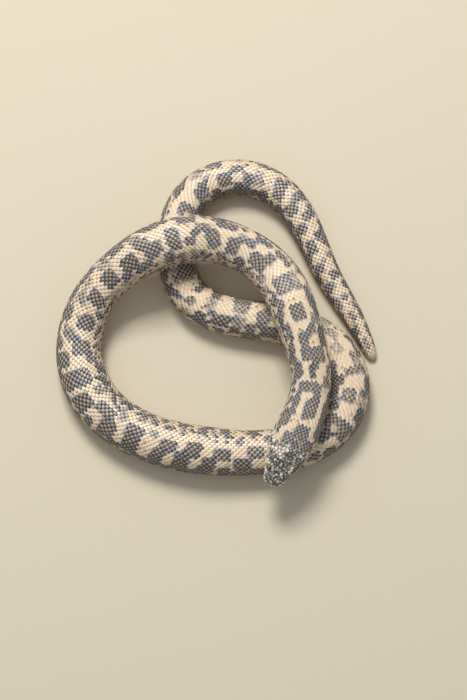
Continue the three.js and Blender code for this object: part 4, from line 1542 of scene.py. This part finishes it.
@dataclass
class Coat:
    """Rows of overlapping scales over the neck, trunk and tail."""

    body: Body
    markings: Markings
    shape: ScaleShape = field(default_factory=ScaleShape)
    finish: ScaleFinish = ScaleFinish("body_scales")
    stretches: tuple[Point, ...] = ((0.0, 212.0), (212.0, TAIL_TIP))
    tail_end: float = 426.9
    most_rows: int = 34
    shortest: float = 0.72  # of its true length, for a scale on the inside of a bend
    longest: float = 1.15
    bleed: float = 0.55  # how far a patch's edge runs on across a scale
    chance: Triple = (0.03, 0.02, 0.008)  # spread of a scale's twist, size and lift
    patch_size: float = 0.003
    seed: int = 11

    def lattice(self) -> tuple[Array, Array]:
        """Sets the scales out in rows, every other one shifted by half a pitch.

        Returns:
            Each scale's distance from the snout, and round from the middle of the back.
        """
        pitch = Profile(SCALE_PITCH)
        distances, rounds = [], []
        for row in range(-self.most_rows, self.most_rows + 1):
            s = pitched(pitch, CROWN_END - 1, self.tail_end, 0.5 * (row % 2))
            round_ = row * Profile(ROW_SPACING)(s)
            room = self.body.half_girth(s) - Profile(BELLY_HALF)(s)
            turn = turn_from_top(self.body.angle(s, round_))
            keep = (np.abs(round_) < room + 0.2) & (s < self.tail_end) & (s > shield_end(turn))
            distances.append(s[keep])
            rounds.append(round_[keep])
        return np.concatenate(distances), np.concatenate(rounds)

    def _band(self, s: Array, round_: Array, own: dict[str, Array],
              dice: np.random.Generator) -> MeshParts:
        """The scales of one band as one mesh.

        Args:
            s: each scale's distance from the snout.
            round_: its distance round from the middle of the back.
            own: its attributes.
            dice: the source of chance.

        Returns:
            The mesh's parts.
        """
        plate = self.shape.plate()
        layout, (faces, rounded) = plate.layout(), plate.faces()
        rises = self.shape.rises(layout, plate.sides)
        angle = self.body.angle(s, round_)
        drawn = self.body.stretch(s, angle)
        half = Profile(SCALE_PITCH)(s) / 2 * np.clip(drawn, self.shortest, self.longest) / drawn
        twist_spread, size_spread, lift_spread = self.chance
        twist = dice.normal(0, twist_spread, len(s))[:, None]
        size = dice.normal(1, size_spread, len(s))[:, None]
        spacing = Profile(ROW_SPACING)(s)[:, None]
        along = (layout[:, 0] + twist * layout[:, 1]) * size * half[:, None]
        across = (layout[:, 1] - twist * layout[:, 0]) * size * spacing
        lift = rises + dice.normal(0, lift_spread, len(s))[:, None]
        place, turn = s[:, None] + along, round_[:, None] + across
        angles = self.body.angle(place, turn)
        points = self.body.raised(place, angles, lift)
        n, m = len(s), len(layout)
        share = (layout[:, 0] + 1) / 2
        values = {key: np.repeat(value, m) for key, value in own.items() if key != "mark"}
        local = self.markings.darkness(place.ravel(), angles.ravel(), np.zeros(n * m))
        blend = values["dark"] + self.bleed * (local - np.repeat(own["mark"], m))
        values["dark"] = np.clip(blend, 0, DARKEST)
        values |= {"edge": np.tile(plate.edge(), n), "tip": np.tile(np.clip(share, 0, 1), n)}
        root = np.stack([s, round_], -1)
        low, high = root.min(0), root.max(0)
        spot = 0.01 + 0.97 * (root - low) / (high - low)
        patches = spot[:, None, None] + plate.patch(self.patch_size)
        every = copies(faces, n, m)
        return MeshParts(points.reshape(-1, 3), every, np.tile(rounded, n), values, patches)

    def build(self) -> list[Piece]:
        """Makes the coat.

        Returns:
            The pieces: two lengths of the body, each in three bands.
        """
        dice = np.random.default_rng(self.seed)
        s, round_ = self.lattice()
        own = self.markings.scales(s, self.body.angle(s, round_), dice)
        share = round_ / self.body.half_girth(s)
        pieces = []
        for label, (start, end) in zip(("front", "rear"), self.stretches):
            for side in Side:
                low, high = side.value
                pick = (s >= start) & (s < end) & (share >= low) & (share < high)
                chosen = {key: value[pick] for key, value in own.items()}
                parts = self._band(s[pick], round_[pick], chosen, dice)
                pieces.append(parts.build(f"scales_{label}_{side.name.lower()}"))
        return pieces

    def dress(self, pieces: list[Piece]) -> None:
        """Finishes the scales."""
        settle(pieces, self.finish)


@dataclass
class BellyPlates:
    """The wide plates under the body, the small ones under the tail and the tail's cone."""

    body: Body
    start: float = 15.0
    end: float = 427.0
    tuck: float = 0.35  # how far a plate reaches under the lowest scales
    thickness: float = 0.1
    sunk: float = 0.24  # depth of a plate's front edge
    slope: float = 0.2  # how much higher its rear edge is
    droop: float = 0.07  # how much lower its sides are
    curve: float = 0.22  # how far its sides lie forward of the middle of its rear edge, in pitches
    clearance: float = 0.004  # over the floor
    rusty: float = 0.25  # the most that a plate is
    flecked: Point = (0.1, 0.6)  # share of its spots that are dark, and how dark
    seed: int = 23
    finish: ScaleFinish = ScaleFinish("belly_plates", tip_spot=0.1)
    along: tuple[float, ...] = (-0.8, -0.1, 0.32, 0.5)  # the grid's rows, in pitches
    across: tuple[float, ...] = (-1.0, -0.85, -0.6, -0.3, 0.0, 0.3, 0.6, 0.85, 1.0)
    cone: tuple[Point, ...] = (
        (426.4, -0.26), (426.9, -0.05), (427.6, -0.02), (428.3, -0.02), (428.7, -0.02),
    )  # the tail's cone: distance from the snout, height over the surface
    cone_sides: int = 20

    def _faces(self) -> Array:
        """Joins one plate: top and underside grids, and the wall between them.

        Returns:
            The triangles.
        """
        rows, columns = len(self.along), len(self.across)
        index = np.arange(rows * columns).reshape(rows, columns)
        a, b = index[:-1, :-1].ravel(), index[:-1, 1:].ravel()
        c, d = index[1:, :-1].ravel(), index[1:, 1:].ravel()
        top = np.concatenate([np.stack([a, c, d], -1), np.stack([a, d, b], -1)])
        under = top[:, ::-1] + rows * columns
        rim = np.concatenate([index[0, :-1], index[:-1, -1], index[-1, :0:-1], index[:0:-1, 0]])
        after = np.roll(rim, -1)
        low = rows * columns
        wall = [np.stack([rim, after, after + low], -1), np.stack([rim, after + low, rim + low], -1)]
        return np.concatenate([top, under, *wall])

    def parts(self) -> MeshParts:
        """Makes all of the plates.

        Returns:
            The mesh's parts.
        """
        dice = np.random.default_rng(self.seed)
        s = pitched(Profile(BELLY_PITCH), self.start, self.end)
        pitch = Profile(BELLY_PITCH)(s)
        half = Profile(BELLY_HALF)(s) + self.tuck
        along, across = (g.ravel() for g in np.meshgrid(self.along, self.across, indexing="ij"))
        curve = np.where(along > 0, self.curve * across ** 2 * along / self.along[-1], 0)
        place = s[:, None] + (along - curve) * pitch[:, None]
        off = across * half[:, None]
        girth = self.body.half_girth(place)
        round_ = np.where(off >= 0, girth - off, -girth - off)
        share = (along - self.along[0]) / (self.along[-1] - self.along[0])
        side = smooth(np.abs(across), 0.7, 1.0)
        rise = -self.sunk + self.slope * share - self.droop * side
        top = self.body.place(place, round_, np.broadcast_to(rise, place.shape))
        under = self.body.place(place, round_, np.broadcast_to(rise - self.thickness, place.shape))
        n, m = len(s), 2 * len(along)
        points = np.concatenate([top, under], axis=1)
        points[..., 2] = np.maximum(points[..., 2], self.clearance)
        faces = self._faces()
        rim = np.maximum(smooth(share, 0.75, 1), side)
        shade = dice.random(n) * self.rusty
        share_dark, how_dark = self.flecked
        chosen = dice.random((n, len(along))) < share_dark
        spot = chosen * smooth(np.abs(across), 0.4, 0.9) * how_dark
        dark = np.clip(spot + 0.1 * shade[:, None], 0, 1)
        both = {"dark": dark, "edge": np.broadcast_to(rim, dark.shape),
                "tip": np.broadcast_to(share, dark.shape)}
        values = {key: np.concatenate([v, v], axis=1).ravel() for key, v in both.items()}
        values |= {"tone": np.repeat(dice.random(n), m), "warm": np.repeat(shade, m)}
        flat = np.stack([along + 0.8, across * 0.5], -1) * 0.0022
        flat = np.concatenate([flat, flat * (1, 0.6) + (0, 0.004)])
        columns = 20
        order = np.arange(n)
        root = np.stack([order % columns / columns, order // columns / (n / columns + 1)], -1)
        patches = 0.01 + 0.96 * root[:, None, None] + flat[faces]
        every = copies(faces, n, m)
        return MeshParts(points.reshape(-1, 3), every, np.ones(len(every)), values, patches)

    def tip(self) -> MeshParts:
        """Makes the cone that closes the tail.

        Returns:
            The mesh's parts.
        """
        tube = RingMesh()
        n = self.cone_sides
        angles = -np.pi / 2 + 2 * np.pi * np.arange(n) / n
        made = [self.body.raised(np.full(n, s), angles, np.full(n, r)) for s, r in self.cone]
        tube.add(made[0].mean(0)[None], self.cone[0][0] - 0.4)
        for (s, _), points in zip(self.cone, made):
            tube.add(points, s)
        tube.add(made[-1].mean(0)[None], TAIL_TIP)
        parts = tube.parts(1, TAIL_TIP)
        parts.patches = parts.patches * 0.02 + 0.97
        count = len(parts.points)
        flat = {"dark": 0.35, "edge": 0.3, "tip": 0.4, "tone": 0.5, "warm": 0.3}
        parts.values = {key: np.full(count, value) for key, value in flat.items()}
        return parts

    def build(self) -> list[Piece]:
        """Makes the plates and the cone as one piece.

        Returns:
            The one piece.
        """
        plates, tip = self.parts(), self.tip()
        faces = np.concatenate([plates.faces, tip.faces + len(plates.points)])
        values = {key: np.concatenate([value, tip.values[key]])
                  for key, value in plates.values.items()}
        points = np.concatenate([plates.points, tip.points])
        patches = np.concatenate([plates.patches.reshape(-1, 3, 2), tip.patches])
        parts = MeshParts(points, faces, np.ones(len(faces)), values, patches)
        return [parts.build("belly_plates")]

    def dress(self, pieces: list[Piece]) -> None:
        """Finishes the plates."""
        settle(pieces, self.finish)


class Kind(Enum):
    """What a shield of the head is."""

    PLAIN = 0
    LIP = 1
    EYE_RING = 2
    FIXED = 3  # a plain one that keeps its place
    OPENING = 4  # left open: an eye or a nostril
    BEYOND = 5  # neighbours of the last shields, which aren't made


@dataclass
class Shield:
    """A shield's middle, its outward direction and how much room it takes from its neighbours."""

    point: Array
    normal: Array
    kind: Kind = Kind.PLAIN
    room: float = 0.0


@dataclass
class HeadShields:
    """The small shields that cover the head, each a cell between its neighbours."""

    skin: Skin
    # the shields' slate is a touch blue: painted sky sheen
    finish: ScaleFinish = ScaleFinish(
        "head_shields", cream=paint(246, 234, 214), peach=paint(218, 200, 168), slate=paint(94, 94, 98),
        clay=paint(80, 70, 58), tip_spot=0.0, rim=paint(70, 58, 48), rim_share=0.5, fleck=0.5,
    )
    limit: float = 1.7  # farthest that a shield reaches from its middle
    near: float = 3.4  # farthest that a neighbour's middle is
    passes: int = 2
    pull: float = 0.8  # of the way to the middle of its cell, in each pass
    gap: float = 0.025
    outline: int = 16  # points round a shield
    rim: float = 0.16  # height of a shield's rim over the skin
    crown: float = 0.05
    tuck: float = 0.06  # depth of its underside
    inner: float = 0.62  # size of a plate's inner ring
    shoulder: float = 0.8  # how much of the crown's height that ring has
    patch_size: float = 0.006
    seed: int = 5
    lip_count: int = 10  # shields above each side of the mouth, and below it
    lip_offsets: Point = (0.62, -0.6)
    snout_tip: Triple = (-0.02, 0, 1.75)
    nasals: Point = (1.0, 2.05)  # the shields before and behind a nostril
    tip_room: float = 0.7
    lip_room: float = 0.1
    small_room: float = 0.05  # of the shields by the nostrils and under the chin
    eye_room: float = 0.5
    ring_room: float = 0.06
    brow_shields: tuple[Triple, ...] = (
        (1.25, 22, 0.3), (2.75, 17, 0.25), (2.6, 46, 0.1),
    )  # larger ones of the snout: distance back, turn from the top, room
    chin_rows: Point = (0.72, 1.68)
    chin_side: float = 1.35
    eye_ring: int = 10
    eye_ring_radius: float = 1.28
    first_row: float = 0.35  # where the evenly spread shields start
    neck_reach: float = 1.4  # and how far past the jaws' shields they end
    row_step: float = 0.87  # of their spacing, between their rows
    jitter: float = 0.13
    clearance: float = 0.62  # of their spacing, from the shields that are set one by one
    margins: Point = (0.3, 1.6)  # how far past their end shields are made, and neighbours set out
    room_spread: float = 0.12
    under_cheek: Point = (95, 120)  # turn from the top at which the pale underside starts
    cheek: Point = (38, 58)  # and at which the cheeks do
    cheek_pale: Point = (1.0, 0.15)  # how pale the right cheek is, and the left, whose low value is partly painted shade on that side of the head
    mottles: tuple[Triple, ...] = (
        (2.0, 0.05, 0.2), (0.78, 0.25, 0.5), (0.45, 0.55, 1.1),
    )  # a chance, and how dark shields below it are, from and to
    raggedness: float = 0.2
    cheek_luck: float = 0.6  # how much a pale cheek adds to the chance
    under_dark: float = 0.06
    lip_spots: Point = (0.2, 0.45)  # share of dark lip shields, and how dark
    lip_dark: Point = (0.0, 0.25)  # of the others, from and to
    ring_dark: Point = (0.1, 0.8)
    rusty: float = 0.3  # the most that a shield is
    shields: list[Shield] = field(default_factory=list, init=False)

    def __post_init__(self) -> None:
        """Takes the skin's own measures, and charts its plain form."""
        self.body = self.skin.body
        self.head = self.skin.head
        self.dice = np.random.default_rng(self.seed)
        self.plain = self.skin.plain_tree()

    def _add(self, s: float, angle: float, kind: Kind, room: float = 0.0) -> None:
        """Adds a shield.

        Args:
            s: distance from the snout.
            angle: the section angle.
            kind: what it is.
            room: how much room it takes.
        """
        place, turn = np.array(float(s)), np.array(float(angle))
        point = self.body.surface(place, turn)
        self.shields.append(Shield(point, self.body.normal(place, turn), kind, room))

    def _lips(self) -> None:
        """The shields above and below the mouth, those round its front and by the nostrils."""
        head = self.head
        self.shields.append(Shield(head.world(self.snout_tip), -head.axes[0], Kind.LIP, self.tip_room))
        for side in (1, -1):
            for share in np.linspace(0.02, 0.98, self.lip_count):
                x, z = head.mouth(share)
                for off in self.lip_offsets:
                    angle = head.angle_at(np.array(x), np.array(z + off), side)
                    self._add(x, float(angle), Kind.LIP, self.lip_room)
            nostril = self._nostril_angle(side)
            for back in self.nasals:
                self._add(back, nostril, Kind.LIP, self.small_room)
            for back, turn, room in self.brow_shields:
                self._add(back, math.radians(90 - side * turn), Kind.FIXED, room)
        for x in self.chin_rows:
            for y in (-self.chin_side, 0.0, self.chin_side):
                share = signed_power(np.array(y / float(self.body.half_width(x))), BELLY_POWER / 2)
                self._add(x, -float(np.arccos(share)), Kind.LIP, self.small_room)

    def _nostril_angle(self, side: int) -> float:
        """The section angle of a nostril.

        Args:
            side: 1 on the right and -1 on the left.

        Returns:
            The angle.
        """
        relief = self.skin.relief
        height = np.array(relief.nostril_height)
        return float(self.head.angle_at(np.array(relief.nostril_back), height, side))

    def _nostrils(self) -> None:
        """The gap between the two shields beside each nostril."""
        for side in (1, -1):
            back = self.skin.relief.nostril_back
            self._add(back, self._nostril_angle(side), Kind.OPENING, -self.small_room)

    def _eyes(self) -> None:
        """A ring of shields round each eye, and the eye's own opening."""
        for side in (1, -1):
            eye = self.head.eye(side)
            place, normal, _, _ = self.plain.find_nearest(Vector(eye))
            place, normal = np.array(place), np.array(normal)
            self.shields.append(Shield(place, normal, Kind.OPENING, self.eye_room))
            first = unit(np.cross(normal, (0, 0, 1)))
            second = np.cross(normal, first)
            for turn in np.linspace(0, 2 * np.pi, self.eye_ring, endpoint=False):
                out = math.cos(turn) * first + math.sin(turn) * second
                target = place + self.eye_ring_radius * out
                spot, facing, _, _ = self.plain.find_nearest(Vector(target))
                ring = Shield(np.array(spot), np.array(facing), Kind.EYE_RING, self.ring_room)
                self.shields.append(ring)

    def _fill(self) -> None:
        """Evenly spread shields over what is left, as far as the neck."""
        fixed = np.array([shield.point for shield in self.shields])
        spacing = Profile(SHIELD_SPACING)
        made_to, set_to = self.margins
        s, row = self.first_row, 0
        while s < JAW_END + self.neck_reach:
            apart = float(spacing(np.array(s)))
            half = float(self.body.half_girth(s))
            count = max(6, round(2 * half / apart))
            for k in range(count):
                round_ = (-1 + 2 * (k + 0.5 * (row % 2)) / count) * half
                place = np.array(s + self.dice.normal(0, self.jitter))
                round_ += self.dice.normal(0, self.jitter)
                angle = float(self.body.angle(place, np.array(round_)))
                point = self.body.surface(place, np.array(angle))
                beyond = place - float(shield_end(turn_from_top(np.array(angle))))
                clear = np.linalg.norm(fixed - point, axis=1).min() > self.clearance * apart
                if clear and beyond < set_to:
                    kind = Kind.PLAIN if beyond < made_to else Kind.BEYOND
                    room = self.dice.uniform(-self.room_spread, self.room_spread)
                    self._add(place, angle, kind, room)
            step = float(self.body.half_width(s + 0.1) - self.body.half_width(s - 0.1)) / 0.2
            s += self.row_step * apart / math.hypot(1, step)
            row += 1

    def _axes(self, shield: Shield) -> tuple[Array, Array]:
        """The axes of a shield.

        Args:
            shield: the shield.

        Returns:
            Two directions that lie in its plane.
        """
        guide = (0, 0, 1) if abs(shield.normal[2]) < 0.8 else (1, 0, 0)
        first = unit(np.cross(guide, shield.normal))
        return first, np.cross(shield.normal, first)

    def _cell(self, index: int, points: Array, normals: Array) -> list[Point]:
        """The part of a shield's plane that is nearer to it than to its neighbours.

        Args:
            index: which shield.
            points: the middles of all shields.
            normals: their outward directions.

        Returns:
            The cell's corners, anticlockwise seen from outside.
        """
        shield = self.shields[index]
        away = points - shield.point
        far = np.linalg.norm(away, axis=1)
        near = np.flatnonzero((far < self.near) & (far > 1e-6) & (normals @ shield.normal > -0.1))
        first, second = self._axes(shield)
        limit = self.limit
        cell = [(-limit, -limit), (limit, -limit), (limit, limit), (-limit, limit)]
        for j in near[np.argsort(far[near])]:
            x, y = float(away[j] @ first), float(away[j] @ second)
            length = math.hypot(x, y) or 1e-6
            scale = far[j] / length
            x, y = x * scale, y * scale
            bound = (far[j] ** 2 + shield.room - self.shields[j].room) / 2
            cell = self._clip(cell, x, y, bound)
            if len(cell) < 3:
                return []
        return cell

    @staticmethod
    def _clip(cell: list[Point], x: float, y: float, bound: float) -> list[Point]:
        """Cuts a cell at a line.

        Args:
            cell: the cell's corners.
            x: the line's factor of X.
            y: its factor of Y.
            bound: what x * X + y * Y is on the line.

        Returns:
            The corners of what is left on the near side.
        """
        kept = []
        for (ax, ay), (bx, by) in zip(cell, cell[1:] + cell[:1]):
            a, b = ax * x + ay * y - bound, bx * x + by * y - bound
            if a <= 0:
                kept.append((ax, ay))
            if a * b < 0:
                t = a / (a - b)
                kept.append((ax + t * (bx - ax), ay + t * (by - ay)))
        return kept

    def _middles(self) -> tuple[Array, Array]:
        """The middles of all shields, and their outward directions."""
        points = np.array([shield.point for shield in self.shields])
        return points, np.array([shield.normal for shield in self.shields])

    def _settle(self) -> None:
        """Moves the plain shields to the middles of their cells, a few times over."""
        for _ in range(self.passes):
            points, normals = self._middles()
            for index, shield in enumerate(self.shields):
                if shield.kind is not Kind.PLAIN:
                    continue
                cell = np.array(self._cell(index, points, normals))
                if len(cell) < 3:
                    continue
                first, second = self._axes(shield)
                middle = cell.mean(0)
                target = shield.point + self.pull * (middle[0] * first + middle[1] * second)
                place, normal, _, _ = self.plain.find_nearest(Vector(target))
                facing = np.array(normal)
                shield.point = np.array(place) + COAT_DEPTH * facing
                shield.normal = unit(shield.normal + facing)

    def _outline(self, cell: list[Point]) -> Array:
        """Draws a cell in from its neighbours and rounds its corners.

        Args:
            cell: the cell's corners.

        Returns:
            Points at even steps.
        """
        corners = np.array(cell)
        middle = corners.mean(0)
        size = np.linalg.norm(corners - middle, axis=1).mean()
        corners = middle + (corners - middle) * (1 - self.gap / size)
        for _ in range(2):
            after = np.roll(corners, -1, axis=0)
            corners = np.stack([0.86 * corners + 0.14 * after, 0.14 * corners + 0.86 * after], 1)
            corners = corners.reshape(-1, 2)
        closed = np.concatenate([corners, corners[:1]])
        way = np.concatenate([[0], np.cumsum(np.linalg.norm(np.diff(closed, axis=0), axis=1))])
        steps = np.linspace(0, way[-1], self.outline, endpoint=False)
        return np.stack([np.interp(steps, way, closed[:, k]) for k in range(2)], -1)

    def _own(self, shield: Shield) -> dict[str, float]:
        """Chooses the colours of a shield.

        Args:
            shield: the shield.

        Returns:
            How dark, how brown and how rusty it is.
        """
        own = self.head.own(shield.point)
        s = float(np.clip(own[0], 0.05, JAW_END + 1))
        side = 1 if own[1] > 0 else -1
        angle = float(self.head.angle_at(np.array(s), np.array(own[2]), side))
        ragged = np.array([self.dice.normal(0, self.raggedness)])
        dark = float(self.skin.markings.darkness(np.array([s]), np.array([angle]), ragged)[0])
        away = np.abs(turn_from_top(np.array(angle)))
        under = float(smooth(away, *self.under_cheek))
        # the left cheek is kept darker: partly painted shade on that side of the head
        cheek = float(smooth(away, *self.cheek)) * self.cheek_pale[0 if side > 0 else 1]
        chance = self.dice.random() + self.cheek_luck * cheek
        mottle = 0.0
        for below, least, most in self.mottles:
            if chance < below:
                mottle = self.dice.uniform(least, most)
        crown = max(dark, mottle) * (1 - under) + self.under_dark * under
        if shield.kind is Kind.LIP:
            share, spot = self.lip_spots
            crown = spot if self.dice.random() < share else self.dice.uniform(*self.lip_dark)
        if shield.kind is Kind.EYE_RING:
            crown = min(crown, self.dice.uniform(*self.ring_dark))
        tone, warm = self.dice.random(), self.rusty * self.dice.random()
        return {"dark": crown, "tone": tone, "warm": warm}

    def build(self) -> list[Piece]:
        """Sets out the shields over the plain form of the head, and makes them.

        Returns:
            The one piece.
        """
        self._lips()
        self._eyes()
        self._fill()
        self._settle()
        self._nostrils()
        points, normals = self._middles()
        made, all_faces, rounded, patches, start = [], [], [], [], 0
        values: dict[str, list[Array]] = {k: [] for k in ("dark", "tone", "warm", "edge", "tip")}
        for index, shield in enumerate(self.shields):
            own = self._own(shield)
            if shield.kind in (Kind.OPENING, Kind.BEYOND):
                continue
            cell = self._cell(index, points, normals)
            if len(cell) < 3:
                continue
            plate = Plate(self._outline(cell), self.inner, tuple(np.array(cell).mean(0)))
            layout = plate.layout()
            n = plate.sides
            heights = np.full(len(layout), self.rim)
            heights[:n] = -self.tuck
            heights[2 * n:] += self.shoulder * self.crown
            heights[-1] += (1 - self.shoulder) * self.crown
            made.append(self._laid(shield, layout, heights))
            faces, top = plate.faces()
            all_faces.append(faces + start)
            rounded.append(top)
            start += len(layout)
            for key, value in own.items():
                values[key].append(np.full(len(layout), value))
            # painted shade of the mouth's slit and the nostrils, on the shields beside them
            painted_hollow_shade = self.skin.relief.shade(self.head, made[-1])
            values["dark"][-1] = np.maximum(values["dark"][-1], painted_hollow_shade)
            values["edge"].append(plate.edge())
            values["tip"].append(np.full(len(layout), 0.3))
            spot = self.head.own(shield.point)
            turn = math.atan2(spot[1], spot[2] - 3.5)
            root = np.array([0.03 + 0.94 * spot[0] / (JAW_END + 1.5), 0.5 + 0.47 * turn / math.pi])
            patches.append(root + plate.patch(self.patch_size))
        joined = {key: np.concatenate(value) for key, value in values.items()}
        parts = MeshParts(np.concatenate(made), np.concatenate(all_faces), np.concatenate(rounded),
                          joined, np.concatenate(patches))
        return [parts.build("head_shields")]

    def dress(self, pieces: list[Piece]) -> None:
        """Finishes the shields."""
        settle(pieces, self.finish)

    def _laid(self, shield: Shield, layout: Array, heights: Array) -> Array:
        """Lays a plate on the skin, clear of the mouth's slit.

        Args:
            shield: the plate's shield.
            layout: its points.
            heights: their heights.

        Returns:
            The points.
        """
        first, second = self._axes(shield)
        relief = self.skin.relief
        targets = shield.point + layout[:, :1] * first + layout[:, 1:] * second
        targets = relief.parted(self.head, shield.point, targets)
        found = [self.plain.find_nearest(Vector(target)) for target in targets]
        places = np.array([place for place, *_ in found])
        facing = unit(0.6 * np.array([normal for _, normal, *_ in found]) + shield.normal)
        rise = heights + relief.heights(self.head, places)
        return places + rise[:, None] * facing


class Hand(Enum):
    """The animal's own two sides, as signs of the head's y axis."""

    RIGHT = 1
    LEFT = -1


@dataclass
class Eye:
    """An eyeball under its clear scale."""

    head: HeadFrame
    hand: Hand
    finish: EyeFinish = EyeFinish()
    around: int = 48
    rings: int = 40
    outlook: Triple = (-0.35, 1.05, 0.75)  # from the middle: x, out, z

    @property
    def node(self) -> str:
        """The solid that the eye stands for."""
        return f"eye_{self.hand.name.lower()}"

    def build(self) -> list[Piece]:
        """Makes the ball, with its own axes kept for its finish.

        Returns:
            The one piece.
        """
        side = self.hand.value
        middle = self.head.eye(side)
        x, out, z = self.outlook
        front = self.head.world((EYE_BACK + x, side * (EYE_SIDE + out), EYE_HEIGHT + z))
        outward = unit(front - middle)
        across = unit(np.cross((0, 0, 1), outward))
        upright = np.cross(outward, across)
        tube = RingMesh()
        swings = np.linspace(0, math.pi, self.rings)
        turns = 2 * np.pi * np.arange(self.around) / self.around
        for swing in swings:
            if math.sin(swing) < 1e-6:
                tube.add((middle + outward * EYE_RADIUS * math.cos(swing))[None], swing)
                continue
            ring = np.cos(turns)[:, None] * across + np.sin(turns)[:, None] * -upright
            out = math.cos(swing) * outward + math.sin(swing) * ring
            tube.add(middle + EYE_RADIUS * out, swing)
        parts = tube.parts(1, math.pi)
        away = (parts.points - middle) / EYE_RADIUS
        parts.values = {"across": away @ across, "upright": away @ upright, "out": away @ outward}
        return [parts.build(f"{self.node}_ball")]

    def dress(self, pieces: list[Piece]) -> None:
        """Finishes the ball, which stands for the eye's solid.

        Args:
            pieces: the ball.
        """
        settle(pieces, self.finish)
        for piece in pieces:
            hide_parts(self.node)


# -------------------- the studio


@dataclass(frozen=True)
class Lamp:
    """A soft square light."""

    name: str
    place: Triple
    width: float
    watts: float
    colour: Triple = (1.0, 1.0, 1.0)

    def build(self, aim: Vector) -> None:
        """Makes the light.

        Args:
            aim: where it points.
        """
        data = bpy.data.lights.new(self.name, "AREA")
        data.size = self.width
        data.energy = self.watts
        data.color = self.colour
        lamp = placed(self.name, data)
        lamp.location = self.place
        lamp.rotation_euler = (aim - lamp.location).to_track_quat("-Z", "Y").to_euler()


@dataclass(frozen=True)
class Studio:
    """Floor, lights and the camera."""

    aim: Triple = (0.0051, -0.0073, 0.0)
    elevation: float = 80.0  # degrees over the horizon, from the -Y side
    distance: float = 0.5832
    lens: float = 100.0
    floor_half: float = 1.5
    floor: FloorFinish = FloorFinish()
    lamps: tuple[Lamp, ...] = (
        Lamp("key", (-0.14, 0.52, 0.76), 0.3, 9.8, (0.95, 0.975, 1.0)),
        Lamp("fill", (-0.3, 0.1, 0.9), 0.9, 0.8, (0.9, 0.95, 1.0)),
    )
    sky: Colour = (0.86, 0.93, 1.0, 1.0)
    sky_strength: float = 0.5

    def build(self) -> list[Piece]:
        """Makes the lights, the sky, the camera and the floor.

        Returns:
            The floor.
        """
        aim = Vector(self.aim)
        for lamp in self.lamps:
            lamp.build(aim)
        world = bpy.data.worlds.new("sky")
        world.use_nodes = True
        sky = world.node_tree.nodes["Background"]
        sky.inputs["Color"].default_value = self.sky
        sky.inputs["Strength"].default_value = self.sky_strength
        bpy.context.scene.world = world
        bpy.context.scene.view_settings.view_transform = "Standard"
        self._camera(aim)
        return [self._floor()]

    def dress(self, pieces: list[Piece]) -> None:
        """Finishes the floor.

        Args:
            pieces: the floor.
        """
        for piece in pieces:
            piece.data.materials.append(self.floor.material())

    def _floor(self) -> Piece:
        """Makes a square sheet at the level of the belly.

        Returns:
            The floor.
        """
        h = self.floor_half
        mesh = bpy.data.meshes.new("floor")
        mesh.from_pydata([(-h, -h, 0), (h, -h, 0), (h, h, 0), (-h, h, 0)], [], [(0, 1, 2, 3)])
        return placed("floor", mesh)

    def _camera(self, aim: Vector) -> None:
        """Makes the camera, nearly overhead.

        Args:
            aim: where it points.
        """
        lens = bpy.data.cameras.new("camera")
        lens.lens = self.lens
        camera = placed("camera", lens)
        tilt = math.radians(self.elevation)
        back = Vector((0, -math.cos(tilt), math.sin(tilt)))
        camera.location = aim + back * self.distance
        camera.rotation_euler = (math.radians(90) - tilt, 0, 0)
        bpy.context.scene.camera = camera


# -------------------- the whole animal


def main() -> None:
    """Builds the studio and the animal."""
    logging.basicConfig(level=logging.INFO, format="%(message)s")
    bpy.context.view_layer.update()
    body = Body()
    head = HeadFrame(body)
    markings = Markings(body)
    skin = Skin(body, head, markings)
    eyes = [Eye(head, hand) for hand in Hand]
    coat = Coat(body, markings)
    for part in (Studio(), skin, coat, BellyPlates(body), HeadShields(skin), *eyes):
        pieces = part.build()
        part.dress(pieces)
        for piece in pieces:
            log.info("%s: %d faces", piece.name, len(piece.data.polygons))


if __name__ == "__main__":
    main()
